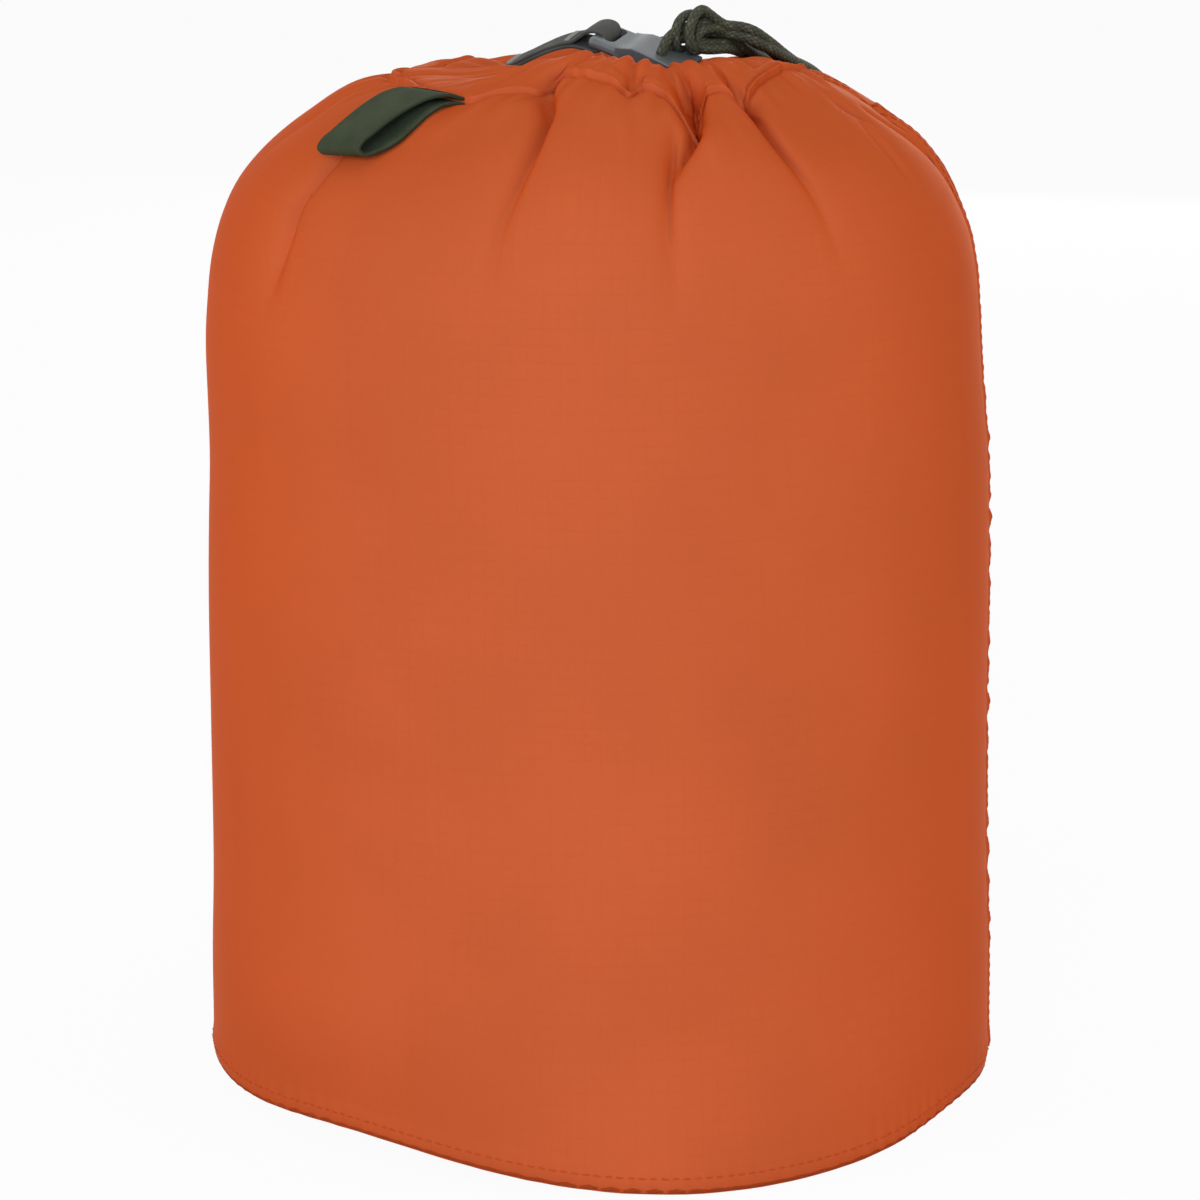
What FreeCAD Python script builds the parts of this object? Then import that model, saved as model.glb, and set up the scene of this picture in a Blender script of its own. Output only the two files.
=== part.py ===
import FreeCAD, Part
import math
import os

# Drawstring stuff sack, 254 mm across, standing on its round base as if it were packed full.
# Millimetres, +Z up, origin at the centre of the base. -Y is the front, +X the side seam.

V = FreeCAD.Vector

# Cloth body
CLOTH = 1.2              # thickness that stands for the cloth and its seam allowances
BASE_R = 129.0           # outer radius where the wall meets the base
WALL_TOP_R = 126.0       # outer radius where the shoulder begins
WALL_TOP_Z = 254.0
SHOULDER_BEND = 74.4     # radius of the rounded shoulder, seen from the side
HEM_R = 73.0             # circle on which the drawcord channel is stitched
NECK_X = 12.5            # the gathered neck lies a little to the seam side
NECK_R = 30.0            # circle on which the cord lies in the channel
NECK_Z = 330.6           # height of that cord over the base
NECK_TILT = -6.0         # degrees about X: the front lip stands higher than the back one
RIM_R = 3.6              # radius of the rolled edge around the cord
GAP = 0.5                # clearance between pieces that only lie on each other

# Drawcord
CORD_D = 3.0
HANK_D = 7.0             # bundle of the folded spare cord
CHANNEL_BORE_R = 2.1
RING_START = 120.0       # degrees round the neck where the first end leaves the channel
RING_END = 390.0         # degrees where the second end leaves it
MOUTH_AHEAD = 20.0       # degrees beyond each end of the ring where its mouth is

# Cord lock, in its own frame: x along its length, y across, z out of its face
LOCK_ORIGIN = V(1.0, 0.8, 340.3)
LOCK_YAW = 20.0          # degrees: its far end points a little to the front
LOCK_SLOPE = 19.0        # degrees: it slopes down into the neck
LOCK_ROLL = 10.0         # degrees: its face leans to the front
LOCK_LENGTH = 31.0
LOCK_WIDTH = 18.0
BAR_R = 2.0              # the bar that the tether is looped round
SLOT_END = 7.0
SLOT_WIDTH = 13.6
HOUSING_START = 9.0
HOUSING_T = 7.0
POCKET_START = 10.0
POCKET_W = 12.6
POCKET_T = 4.0
HOUSING_EDGE_R = 1.6     # rounding of the long edges
SLOT_CORNER_R = 0.9
PLUNGER_START = 16.5
PLUNGER_END = 35.0
PLUNGER_W = 12.2
PLUNGER_T = 3.6
PLUNGER_TRAVEL = 4.0
PAD_EDGE_R = 0.8
CORD_HOLE_X = 21.0
CORD_HOLE_PITCH = 6.0
CORD_HOLE_R = 1.7
SPRING_WIRE_R = 0.3
SPRING_R = 1.3
SPRING_TURNS = 4

# Webbing
WEB_T = 1.2
TETHER_W = 12.0
BAR_CLEARANCE = 0.45     # between the bar and the strap looped round it
# Both faces of the folded strap, from the bar down to the sewn end, in the lock's heading
TETHER_UNDER = ((-4.0, -3.45), (-12.0, -3.0), (-21.5, -4.9), (-33.0, -9.8))
TETHER_OVER = ((-4.0, 3.7), (-12.0, -0.4), (-15.0, -1.0), (-21.5, -2.8), (-33.0, -8.2))
TETHER_FORK = (-11.0, -1.6)          # where the two plies part
TETHER_TACKS = ((-15.2, -0.7), (-31.5, -6.7))
TACK_LENGTH = 1.4
TACK_HEIGHT = 0.5
LOOP_ROOT = V(-38.0, -60.0, 327.2)
LOOP_TIP = V(-71.0, -68.0, 314.8)
LOOP_SIDE = V(-15.5, 12.8, -0.5)
# Section of the loop: distance from its root, and height over the line from root to tip
LOOP_OUTSIDE = ((0.5, 2.4), (9, 6.6), (20, 10.6), (30, 9.2), (36.2, 4.0),
                (31, 0.2), (22, 0.9), (11, 1.2), (0.5, 0))
LOOP_INSIDE = ((3.5, 1.9), (10, 5.3), (20, 9.3), (29, 8.0), (34.9, 4.2),
               (30, 1.5), (22, 2.1), (11, 2.4), (3.5, 1.9))

os.makedirs("parts", exist_ok=True)


def save(node, shape):
    """Write one node and say how large it is."""
    shape.exportStep("parts/" + node + ".step")
    print(f"{node}: {shape.Volume:.0f} mm3, {len(shape.Solids)} solid(s), valid {shape.isValid()}")


def revolve(points_rz, start_deg=0.0, sweep_deg=360.0):
    """Turn a closed outline of (radius, height) corners about Z."""
    corners = [V(r, 0, z) for r, z in points_rz]
    face = Part.Face(Part.makePolygon(corners + corners[:1]))
    solid = face.revolve(V(0, 0, 0), V(0, 0, 1), sweep_deg)
    solid.rotate(V(0, 0, 0), V(0, 0, 1), start_deg)
    return solid


def wall_radius(z):
    """Outer radius of the wall at a height."""
    return BASE_R + (WALL_TOP_R - BASE_R) * z / WALL_TOP_Z


def shoulder_face(outer, inner):
    """Section of a shell between two offsets of the shoulder's arc."""
    centre = V(WALL_TOP_R - SHOULDER_BEND, 0, WALL_TOP_Z)
    reach = math.acos((HEM_R - centre.x) / SHOULDER_BEND)

    def on_arc(radius, angle):
        return centre + V(radius * math.cos(angle), 0, radius * math.sin(angle))

    def arc(radius):
        return Part.Arc(on_arc(radius, 0), on_arc(radius, reach / 2), on_arc(radius, reach)).toShape()

    far, near = SHOULDER_BEND + outer, SHOULDER_BEND + inner
    start = Part.makeLine(on_arc(far, 0), on_arc(near, 0))
    end = Part.makeLine(on_arc(near, reach), on_arc(far, reach))
    return Part.Face(Part.Wire(Part.sortEdges([arc(far), end, arc(near), start])[0]))


def shoulder_top_z():
    return WALL_TOP_Z + math.sqrt(SHOULDER_BEND**2 - (HEM_R - WALL_TOP_R + SHOULDER_BEND) ** 2)


def neck_placement():
    """Frame of the neck: its centre, tilted back."""
    return FreeCAD.Placement(V(NECK_X, 0, NECK_Z), FreeCAD.Rotation(V(1, 0, 0), NECK_TILT))


def neck_point(angle_deg, radius=NECK_R, rise=0.0):
    angle = math.radians(angle_deg)
    return neck_placement().multVec(V(radius * math.cos(angle), radius * math.sin(angle), rise))


def circle_wire(placement, radius):
    circle = Part.Circle(V(0, 0, 0), V(0, 0, 1), radius).toShape()
    wire = Part.Wire([circle])
    wire.Placement = placement
    return wire


def rounded_route(points, diameter, label):
    """Straight runs joined by tangent arcs as large as the runs allow."""
    edges = []
    radii = []
    last = points[0]
    for before, corner, after in zip(points, points[1:], points[2:]):
        back = (before - corner).normalize()
        ahead = (after - corner).normalize()
        turn = math.pi - back.getAngle(ahead)
        setback = 0.45 * min((before - corner).Length, (after - corner).Length)
        radius = setback / math.tan(turn / 2)
        radii.append(radius)
        start, end = corner + back * setback, corner + ahead * setback
        middle_way = (back + ahead).normalize()
        to_centre = radius / math.cos(turn / 2)
        middle = corner + middle_way * (to_centre - radius)
        edges.append(Part.LineSegment(last, start).toShape())
        edges.append(Part.Arc(start, middle, end).toShape())
        last = end
    edges.append(Part.LineSegment(last, points[-1]).toShape())
    wire = Part.Wire(edges)
    print(f"{label}: length {wire.Length:.1f}, smallest radius {min(radii):.1f}, "
          f"{min(radii) / diameter:.1f} diameters")
    return wire


def tube(wire, radius):
    """Round tube along a wire; its volume is checked against section times length."""
    start = wire.Edges[0]
    direction = start.tangentAt(start.FirstParameter)
    circle = Part.Wire([Part.Circle(start.valueAt(start.FirstParameter), direction, radius).toShape()])
    solid = wire.makePipeShell([circle], True, True)
    expected = math.pi * radius**2 * wire.Length
    print(f"  tube volume {solid.Volume:.1f}, section times length {expected:.1f}")
    return solid


# ---- Cloth body -------------------------------------------------------------------------------

def base_panel():
    return Part.makeCylinder(wall_radius(0) - CLOTH - 0.1, CLOTH)


def wall_panel():
    inner_base, inner_top = BASE_R - CLOTH, WALL_TOP_R - CLOTH
    return revolve([(inner_base, 0), (BASE_R, 0), (WALL_TOP_R, WALL_TOP_Z), (inner_top, WALL_TOP_Z)])


def base_seam_tape():
    """Binding that covers the raw edges inside the base seam."""
    outer = BASE_R - CLOTH - GAP
    return revolve([(outer - 1.0, 1.5), (outer, 1.5), (outer - 0.1, 9.5), (outer - 1.1, 9.5)])


def shoulder():
    return shoulder_face(0, -CLOTH).revolve(V(0, 0, 0), V(0, 0, 1), 360)


def hem_cone(drop):
    """Closed lopsided cone from the stitch circle up to the neck circle."""
    level = FreeCAD.Placement(V(0, 0, shoulder_top_z() - drop), FreeCAD.Rotation())
    top = neck_placement()
    top.Base = top.Base + V(0, 0, RIM_R * 0.4 - drop)
    cone = Part.makeLoft([circle_wire(level, HEM_R), circle_wire(top, NECK_R)], True, True)
    return cone if cone.Volume > 0 else cone.reversed()


def neck_torus(minor):
    """Ring of round section lying in the neck's plane."""
    section = Part.Face(Part.Wire([Part.Circle(V(NECK_R, 0, 0), V(0, 1, 0), minor).toShape()]))
    torus = section.revolve(V(0, 0, 0), V(0, 0, 1), 360)
    turned = FreeCAD.Placement(V(0, 0, 0), FreeCAD.Rotation(V(0, 0, 1), 37))
    torus.Placement = neck_placement().multiply(turned)
    return torus if torus.Volume > 0 else torus.reversed()


def neck_plug(radius):
    plug = Part.makeCylinder(radius, 60, V(0, 0, -30))
    plug.Placement = neck_placement()
    return plug


def exit_mouth(angle_deg):
    """Gap left unsewn in the rolled edge, on its inner side, where a cord end comes out."""
    mouth = Part.makeBox(8.5, 14.0, 6.3, V(21.0, -7.0, -4.5))
    turned = FreeCAD.Placement(V(0, 0, 0), FreeCAD.Rotation(V(0, 0, 1), angle_deg))
    mouth.Placement = neck_placement().multiply(turned)
    return mouth


def drawcord_channel():
    """Hem sheet with its rolled edge, and the two mouths where the cord leaves it."""
    sheet = hem_cone(0).cut(hem_cone(CLOTH)).cut(neck_plug(NECK_R + (RIM_R + CHANNEL_BORE_R) / 2))
    channel = sheet.fuse(neck_torus(RIM_R)).cut(neck_torus(CHANNEL_BORE_R))
    for angle in (RING_START - MOUTH_AHEAD, RING_END + MOUTH_AHEAD):
        channel = channel.cut(exit_mouth(angle))
    return channel


def side_seam():
    """Flat-felled seam up the side, from the base seam to the hem."""
    width_deg = 4.0
    low, proud = 5.0, 0.9
    strip = revolve([(wall_radius(low) + 0.02, low), (wall_radius(low) + proud, low),
                     (WALL_TOP_R + proud, WALL_TOP_Z), (WALL_TOP_R + 0.02, WALL_TOP_Z)],
                    -width_deg / 2, width_deg)
    over = shoulder_face(proud, 0.02).revolve(V(0, 0, 0), V(0, 0, 1), width_deg)
    over.rotate(V(0, 0, 0), V(0, 0, 1), -width_deg / 2)
    return strip.fuse(over).removeSplitter()


def thread_ring(placement, radius, thread_r):
    ring = Part.makeTorus(radius, thread_r)
    ring.Placement = placement
    return ring


def channel_stitching():
    """Thread that closes the channel, just inside its lower edge."""
    along = 0.06
    rise = NECK_Z + RIM_R * 0.4 - shoulder_top_z()
    centre = V(NECK_X * along, 0, shoulder_top_z() + rise * along + 0.5)
    radius = HEM_R + (NECK_R - HEM_R) * along
    lean = FreeCAD.Rotation(V(1, 0, 0), NECK_TILT * along)
    return thread_ring(FreeCAD.Placement(centre, lean), radius, 0.3)


def base_stitching():
    height = 3.5
    level = FreeCAD.Placement(V(0, 0, height), FreeCAD.Rotation())
    return thread_ring(level, wall_radius(height) + 0.28, 0.25)


def side_stitching():
    """Two rows of thread along the side seam, on the wall."""
    rows = []
    for angle in (-1.2, 1.2):
        low, high = 8.0, WALL_TOP_Z - 2
        inner, outer = 0.92, 1.3
        rows.append(revolve([(wall_radius(low) + inner, low), (wall_radius(low) + outer, low),
                             (wall_radius(high) + outer, high), (wall_radius(high) + inner, high)],
                            angle - 0.15, 0.3))
    return Part.makeCompound(rows)


# ---- Cord lock --------------------------------------------------------------------------------

def lock_heading():
    """Turn about the upright that the lock and its tether share."""
    return FreeCAD.Rotation(V(0, 0, 1), -LOCK_YAW)


def lock_placement():
    slope = FreeCAD.Rotation(V(0, 1, 0), LOCK_SLOPE)
    roll = FreeCAD.Rotation(V(1, 0, 0), LOCK_ROLL)
    return FreeCAD.Placement(LOCK_ORIGIN, lock_heading().multiply(slope).multiply(roll))


def in_lock(x, y, z):
    return lock_placement().multVec(V(x, y, z))


def across_lock(length):
    """A vector along the lock's bar, from its front end to its back end."""
    return lock_placement().Rotation.multVec(V(0, length, 0))


def slab(x0, x1, width, thickness, corner=0.0):
    box = Part.makeBox(x1 - x0, width, thickness, V(x0, -width / 2, -thickness / 2))
    if corner:
        upright = [e for e in box.Edges if abs(e.BoundBox.ZLength - thickness) < 0.01]
        box = box.makeFillet(corner, upright)
    return box


def cord_hole(radius, y):
    return Part.makeCylinder(radius, 20, V(CORD_HOLE_X, y, -10))


def cord_lock_body():
    """Flat lock: a slotted tongue for the tether, and a pocketed housing for the plunger."""
    tongue = slab(0, HOUSING_START + 2, LOCK_WIDTH, 2 * BAR_R)
    bar = Part.makeCylinder(BAR_R, LOCK_WIDTH, V(0, -LOCK_WIDTH / 2, 0), V(0, 1, 0))
    housing = slab(HOUSING_START, LOCK_LENGTH, LOCK_WIDTH, HOUSING_T)
    long_edges = [e for e in housing.Edges if e.BoundBox.XLength > 1]
    housing = housing.makeFillet(HOUSING_EDGE_R, long_edges)
    slot = slab(-1, SLOT_END, SLOT_WIDTH, 12, SLOT_CORNER_R)
    pocket = slab(POCKET_START, LOCK_LENGTH + 1, POCKET_W, POCKET_T)
    body = tongue.fuse(housing).removeSplitter().cut(slot).fuse(bar).cut(pocket)
    for side in (-1, 1):
        body = body.cut(cord_hole(CORD_HOLE_R, side * CORD_HOLE_PITCH / 2))
    body.Placement = lock_placement()
    return body


def cord_lock_plunger():
    """Sliding bar with two windows that pinch the cords; its end is the push pad."""
    bar = slab(PLUNGER_START, PLUNGER_END, PLUNGER_W, PLUNGER_T)
    pad_edges = [e for e in bar.Edges if e.BoundBox.XMin > PLUNGER_END - 0.01]
    bar = bar.makeFillet(PAD_EDGE_R, pad_edges)
    window_length = 2 * CORD_HOLE_R + PLUNGER_TRAVEL
    for side in (-1, 1):
        corner = V(CORD_HOLE_X - CORD_HOLE_R, side * CORD_HOLE_PITCH / 2 - CORD_HOLE_R, -PLUNGER_T)
        bar = bar.cut(Part.makeBox(window_length, 2 * CORD_HOLE_R, 2 * PLUNGER_T, corner))
    bar.Placement = lock_placement()
    return bar


def cord_lock_spring():
    length = PLUNGER_START - POCKET_START - 2 * SPRING_WIRE_R
    helix = Part.makeHelix(length / SPRING_TURNS, length, SPRING_R)
    profile = Part.Wire([Part.Circle(V(SPRING_R, 0, 0), V(0, 1, 0), SPRING_WIRE_R).toShape()])
    coil = Part.Wire(helix).makePipeShell([profile], True, True)
    lie_down = FreeCAD.Placement(V(POCKET_START + SPRING_WIRE_R, 0, 0), FreeCAD.Rotation(V(0, 1, 0), 90))
    coil.Placement = lock_placement().multiply(lie_down)
    return coil


# ---- Webbing ----------------------------------------------------------------------------------

def strap(outline, side):
    """Extrude a closed outline across the strap."""
    solid = Part.Face(outline).extrude(side)
    return solid if solid.Volume > 0 else solid.reversed()


def tether_webbing():
    """Flat strap from the hem to the lock: under the bar, up through the slot, back over the top."""
    inner = BAR_R + BAR_CLEARANCE
    outer = inner + WEB_T
    side = across_lock(TETHER_W)

    def at(x, z):
        return LOCK_ORIGIN - side * 0.5 + lock_heading().multVec(V(x, 0, z))

    def run(points):
        return [Part.LineSegment(at(*a), at(*b)) for a, b in zip(points, points[1:])]

    def round_bar(radius):
        return Part.Arc(at(0, -radius), at(radius, 0), at(0, radius))

    outside = run(TETHER_UNDER[::-1] + ((0, -outer),)) + [round_bar(outer)]
    outside += run(((0, outer),) + TETHER_OVER + (TETHER_UNDER[-1],))
    near_x, low, high = TETHER_UNDER[0][0], TETHER_UNDER[0][1] + WEB_T, TETHER_OVER[0][1] - WEB_T
    inside = run((TETHER_FORK, (near_x, low), (0, -inner))) + [round_bar(inner)]
    inside += run(((0, inner), (near_x, high), TETHER_FORK))
    outline = Part.Wire([e.toShape() for e in outside])
    gap = Part.Wire([e.toShape() for e in inside])
    return strap(outline, side).cut(strap(gap, side))


def tether_bartacks():
    """Two bars of dense stitching: one holds the loop closed, one holds the strap to the hem."""
    side = across_lock(TETHER_W - 2)
    ahead, high = lock_heading().multVec(V(TACK_LENGTH, 0, 0)), V(0, 0, TACK_HEIGHT)
    bars = []
    for x, z in TETHER_TACKS:
        corner = LOCK_ORIGIN - side * 0.5 + lock_heading().multVec(V(x, 0, z))
        corners = [corner, corner + ahead, corner + ahead + high, corner + high]
        bars.append(strap(Part.makePolygon(corners + corners[:1]), side))
    return Part.makeCompound(bars)


def loop_frame():
    along = (LOOP_TIP - LOOP_ROOT).normalize()
    rise = along.cross(LOOP_SIDE).normalize()
    if rise.z < 0:
        rise = rise * -1
    return along, rise


def loop_point(along_mm, rise_mm):
    along, rise = loop_frame()
    return LOOP_ROOT + along * along_mm + rise * rise_mm


def loop_webbing():
    """Strap folded into a drop-shaped loop, its two ends sewn into the channel seam."""
    outer_pts = [loop_point(*p) for p in LOOP_OUTSIDE]
    inner_pts = [loop_point(*p) for p in LOOP_INSIDE]
    outer = Part.BSplineCurve()
    outer.interpolate(outer_pts)
    root = Part.LineSegment(outer_pts[-1], outer_pts[0])
    inner = Part.BSplineCurve()
    inner.interpolate(inner_pts)
    body = strap(Part.Wire([outer.toShape(), root.toShape()]), LOOP_SIDE)
    return body.cut(strap(Part.Wire([inner.toShape()]), LOOP_SIDE))


def loop_bartack():
    """Stitching that closes the seam over the ends of the loop."""
    start = LOOP_ROOT + V(2.7, 0.7, -0.5)
    wide, high = V(1.5, 0.4, 0), V(0, 0, 0.5)
    corners = [start, start + wide, start + wide + high, start + high]
    return strap(Part.makePolygon(corners + corners[:1]), LOOP_SIDE)


# ---- Drawcord ---------------------------------------------------------------------------------

def ring_wire():
    """The stretch that the channel holds, nearly round the neck."""
    middle = (RING_START + RING_END) / 2
    arc = Part.Arc(neck_point(RING_START), neck_point(middle), neck_point(RING_END))
    return Part.Wire([arc.toShape()])


def lead_points(end_deg, way, hole_y):
    """Route of one end: out of the channel, a slack bight in the neck, up to the lock."""
    angle = math.radians(end_deg)
    heading = neck_placement().Rotation.multVec(V(-math.sin(angle), math.cos(angle), 0) * way)
    start = neck_point(end_deg)
    below = in_lock(CORD_HOLE_X, hole_y, -HOUSING_T / 2 - 0.4)
    lower = in_lock(CORD_HOLE_X - 1, hole_y, -HOUSING_T / 2 - 9)
    inside = neck_point(end_deg + 30 * way, 20.0, -5)
    apart = 4.0 * way
    slack = V(lower.x + apart, lower.y + 14, lower.z - 4)
    bottom = V(lower.x - 1 + apart / 2, lower.y + 5, lower.z - 10)
    return [start, start + heading * 8, inside, slack, bottom, lower, below]


def hank_points():
    """Bundle of the folded spare cord: out over the shoulder and back to the knot."""
    return [V(42.2, 7.0, 343.2), V(53, 14, 338.7), V(59, 23, 334.4), V(64.5, 33, 331.5), V(70, 45, 328.0),
            V(75, 57, 322.9), V(72, 69, 318.6), V(61, 66, 324.2), V(55, 52, 329.3), V(52, 36, 332.3),
            V(47.5, 20, 335.6), V(40.6, 12.6, 338.4)]


def drawcord_knot():
    """Outer shape of the overhand knot that ties the two ends together."""
    core = Part.makeSphere(1.0)
    stretch = FreeCAD.Matrix()
    stretch.scale(9.0, 8.5, 9.0)
    knot = core.transformGeometry(stretch)
    knot.translate(V(33.0, 5.5, 342.6))
    return knot


def drawcord_end():
    """The short cut end that sticks out of the knot."""
    points = [V(26.5, 6, 341.6), V(22.0, 5.8, 341.2), V(18.2, 4.6, 341.2)]
    return tube(rounded_route(points, CORD_D, "drawcord_end"), CORD_D / 2)


def build():
    sides = {"rear": CORD_HOLE_PITCH / 2, "front": -CORD_HOLE_PITCH / 2}
    leads = {
        "rear": lead_points(RING_END, 1, sides["rear"]),
        "front": lead_points(RING_START, -1, sides["front"]),
    }
    for name, points in leads.items():
        wire = rounded_route(points, CORD_D, "lead_cord_" + name)
        save("lead_cord_" + name, tube(wire, CORD_D / 2))
    save("base_panel", base_panel())
    save("wall_panel", wall_panel())
    save("gathered_shoulder", shoulder())
    save("drawcord_channel", drawcord_channel())
    save("base_seam_tape", base_seam_tape())
    save("side_seam", side_seam())
    save("channel_stitching", channel_stitching())
    save("base_stitching", base_stitching())
    save("side_stitching", side_stitching())
    save("channel_cord", tube(ring_wire(), CORD_D / 2))
    knot = drawcord_knot()
    save("drawcord_knot", knot)
    for name, y in sides.items():
        low = in_lock(CORD_HOLE_X, y, -HOUSING_T / 2)
        high = in_lock(CORD_HOLE_X, y, HOUSING_T / 2 + 4.5)
        stretch = Part.makeCylinder(CORD_D / 2, (high - low).Length, low, high - low)
        save("tail_cord_" + name, stretch.cut(knot))
    save("drawcord_hank", tube(rounded_route(hank_points(), HANK_D, "drawcord_hank"), HANK_D / 2))
    save("drawcord_end", drawcord_end().cut(knot))
    save("cord_lock_body", cord_lock_body())
    save("cord_lock_plunger", cord_lock_plunger())
    save("cord_lock_spring", cord_lock_spring())
    save("tether_webbing", tether_webbing())
    save("tether_bartacks", tether_bartacks())
    save("loop_webbing", loop_webbing())
    save("loop_bartack", loop_bartack())


build()
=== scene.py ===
"""Stuff sack with a drawcord, a cord lock on a tether and a grab loop.

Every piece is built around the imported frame, in metres, and rides on one of its bodies.
"""
import functools
import math
import random

import bmesh
import bpy
import numpy as np
from bpy.props import FloatProperty, FloatVectorProperty, IntProperty, PointerProperty
from mathutils import Matrix, Vector


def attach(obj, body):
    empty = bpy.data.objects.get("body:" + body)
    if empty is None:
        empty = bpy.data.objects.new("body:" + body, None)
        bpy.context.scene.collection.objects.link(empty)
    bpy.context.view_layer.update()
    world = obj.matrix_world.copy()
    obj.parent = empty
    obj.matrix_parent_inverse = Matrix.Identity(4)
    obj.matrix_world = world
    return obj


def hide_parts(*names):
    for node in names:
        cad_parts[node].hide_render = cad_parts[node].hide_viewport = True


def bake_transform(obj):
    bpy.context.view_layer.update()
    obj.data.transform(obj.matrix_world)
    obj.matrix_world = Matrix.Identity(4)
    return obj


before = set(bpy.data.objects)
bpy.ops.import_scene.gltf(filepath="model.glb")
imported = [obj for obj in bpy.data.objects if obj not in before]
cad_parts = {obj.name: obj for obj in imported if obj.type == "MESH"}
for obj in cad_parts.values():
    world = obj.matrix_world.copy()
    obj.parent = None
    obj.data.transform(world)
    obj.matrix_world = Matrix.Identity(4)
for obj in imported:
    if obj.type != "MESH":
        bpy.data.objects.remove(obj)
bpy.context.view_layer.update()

bl_info = {
    "name": "Stuff sack",
    "version": (1, 0, 0),
    "blender": (4, 5, 0),
    "location": "View3D > Sidebar > Stuff sack",
    "description": "Builds the cloth, cord, webbing and hardware of a drawcord stuff sack",
    "category": "Object",
}

MM = 0.001
UP = np.array((0.0, 0.0, 1.0))


# ---- Settings ---------------------------------------------------------------------------------

def colour_setting(name, description, *rgb):
    return FloatVectorProperty(name=name, description=description, default=rgb, min=0, max=1,
                               subtype="COLOR")


class StuffSackSizes(bpy.types.PropertyGroup):
    """Sizes of the cloth and cord."""

    ripstop_grid: FloatProperty(
        name="Ripstop grid", description="Distance between the thicker yarns",
        default=0.005, min=0.002, max=0.02, unit="LENGTH")
    cord_diameter: FloatProperty(
        name="Cord diameter", description="Diameter of the braided drawcord",
        default=0.0033, min=0.001, max=0.008, unit="LENGTH")
    columns: IntProperty(
        name="Columns", description="Faces round the cloth of the sack",
        default=500, min=96, max=520)


class StuffSackColours(bpy.types.PropertyGroup):
    """Colours of the finishes."""

    shell: colour_setting("Shell cloth", "Orange nylon", 0.574, 0.128, 0.046)
    trim: colour_setting("Trim", "Orange thread and binding", 0.575, 0.090, 0.0165)
    cord: colour_setting("Cord", "Olive braid", 0.062, 0.066, 0.036)
    loop: colour_setting("Grab loop", "Dark green webbing", 0.046, 0.060, 0.028)
    tether: colour_setting("Tether", "Grey webbing", 0.100, 0.105, 0.088)
    lock: colour_setting("Cord lock", "Grey moulded plastic", 0.100, 0.115, 0.108)


def sizes():
    return bpy.context.scene.stuff_sack_sizes


def colours():
    return bpy.context.scene.stuff_sack_colours


# ---- Numbers and lines ------------------------------------------------------------------------

def mm(*points):
    """Points given in millimetres, as metres."""
    return [Vector(p) * MM for p in points]


def unit(vectors):
    length = np.linalg.norm(vectors, axis=-1, keepdims=True)
    return vectors / np.maximum(length, 1e-12)


def smoothstep(low, high, value):
    t = np.clip((np.asarray(value, float) - low) / (high - low), 0, 1)
    return t * t * (3 - 2 * t)


def bell(distance, width):
    """1 in the middle, falling to nothing a few widths away."""
    return np.exp(-(distance / width) ** 2)


def through(knots, values, at):
    """Smooth curve through a few values, with slopes taken from their neighbours."""
    knots, values = np.asarray(knots, float), np.asarray(values, float)
    slope = np.gradient(values, knots)
    at = np.clip(np.asarray(at, float), knots[0], knots[-1])
    i = np.clip(np.searchsorted(knots, at, side="right") - 1, 0, len(knots) - 2)
    gap = knots[i + 1] - knots[i]
    t = (at - knots[i]) / gap
    return ((2 * t ** 3 - 3 * t ** 2 + 1) * values[i] + (t ** 3 - 2 * t ** 2 + t) * gap * slope[i]
            + (3 * t ** 2 - 2 * t ** 3) * values[i + 1] + (t ** 3 - t ** 2) * gap * slope[i + 1])


def run_along(line):
    """Distance from the start of a line to each of its points."""
    return np.concatenate([[0], np.cumsum(np.linalg.norm(np.diff(line, axis=0), axis=1))])


def read_at(at, places, values):
    """Vectors read off between their places along a line."""
    return np.stack([np.interp(at, places, values[:, k]) for k in range(3)], axis=-1)


def closed_line(line):
    return np.concatenate([line, line[:1]])


def link(name, data):
    piece = bpy.data.objects.new(name, data)
    bpy.context.scene.collection.objects.link(piece)
    return piece


def line_points(route, step):
    """Evenly spaced points along the smooth line that a route's points steer."""
    curve = bpy.data.curves.new("guide", "CURVE")
    curve.dimensions = "3D"
    spline = curve.splines.new("NURBS")
    spline.points.add(len(route) - 1)
    for slot, point in zip(spline.points, route):
        slot.co = (*point, 1.0)
    spline.order_u = 3
    spline.use_endpoint_u = True
    spline.resolution_u = 10
    guide = link("guide", curve)
    bpy.context.view_layer.update()
    mesh = bpy.data.meshes.new_from_object(guide.evaluated_get(bpy.context.evaluated_depsgraph_get()))
    raw = np.array([v.co[:] for v in mesh.vertices])
    bpy.data.objects.remove(guide)
    bpy.data.curves.remove(curve)
    bpy.data.meshes.remove(mesh)
    run = run_along(raw)
    count = max(8, int(round(run[-1] / step)))
    return read_at(np.linspace(0, run[-1], count + 1), run, raw)


def frames_along(line):
    """Side and up at each point of a line, carried along without twist."""
    tangent = unit(np.gradient(line, axis=0))
    start = np.array((0.0, 1.0, 0.0)) if abs(tangent[0] @ UP) > 0.9 else UP
    side = [unit(np.cross(tangent[0], start))]
    for t in tangent[1:]:
        side.append(unit(side[-1] - t * (side[-1] @ t)))
    side = np.array(side)
    return side, np.cross(side, tangent)


# ---- Meshes -----------------------------------------------------------------------------------

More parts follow.
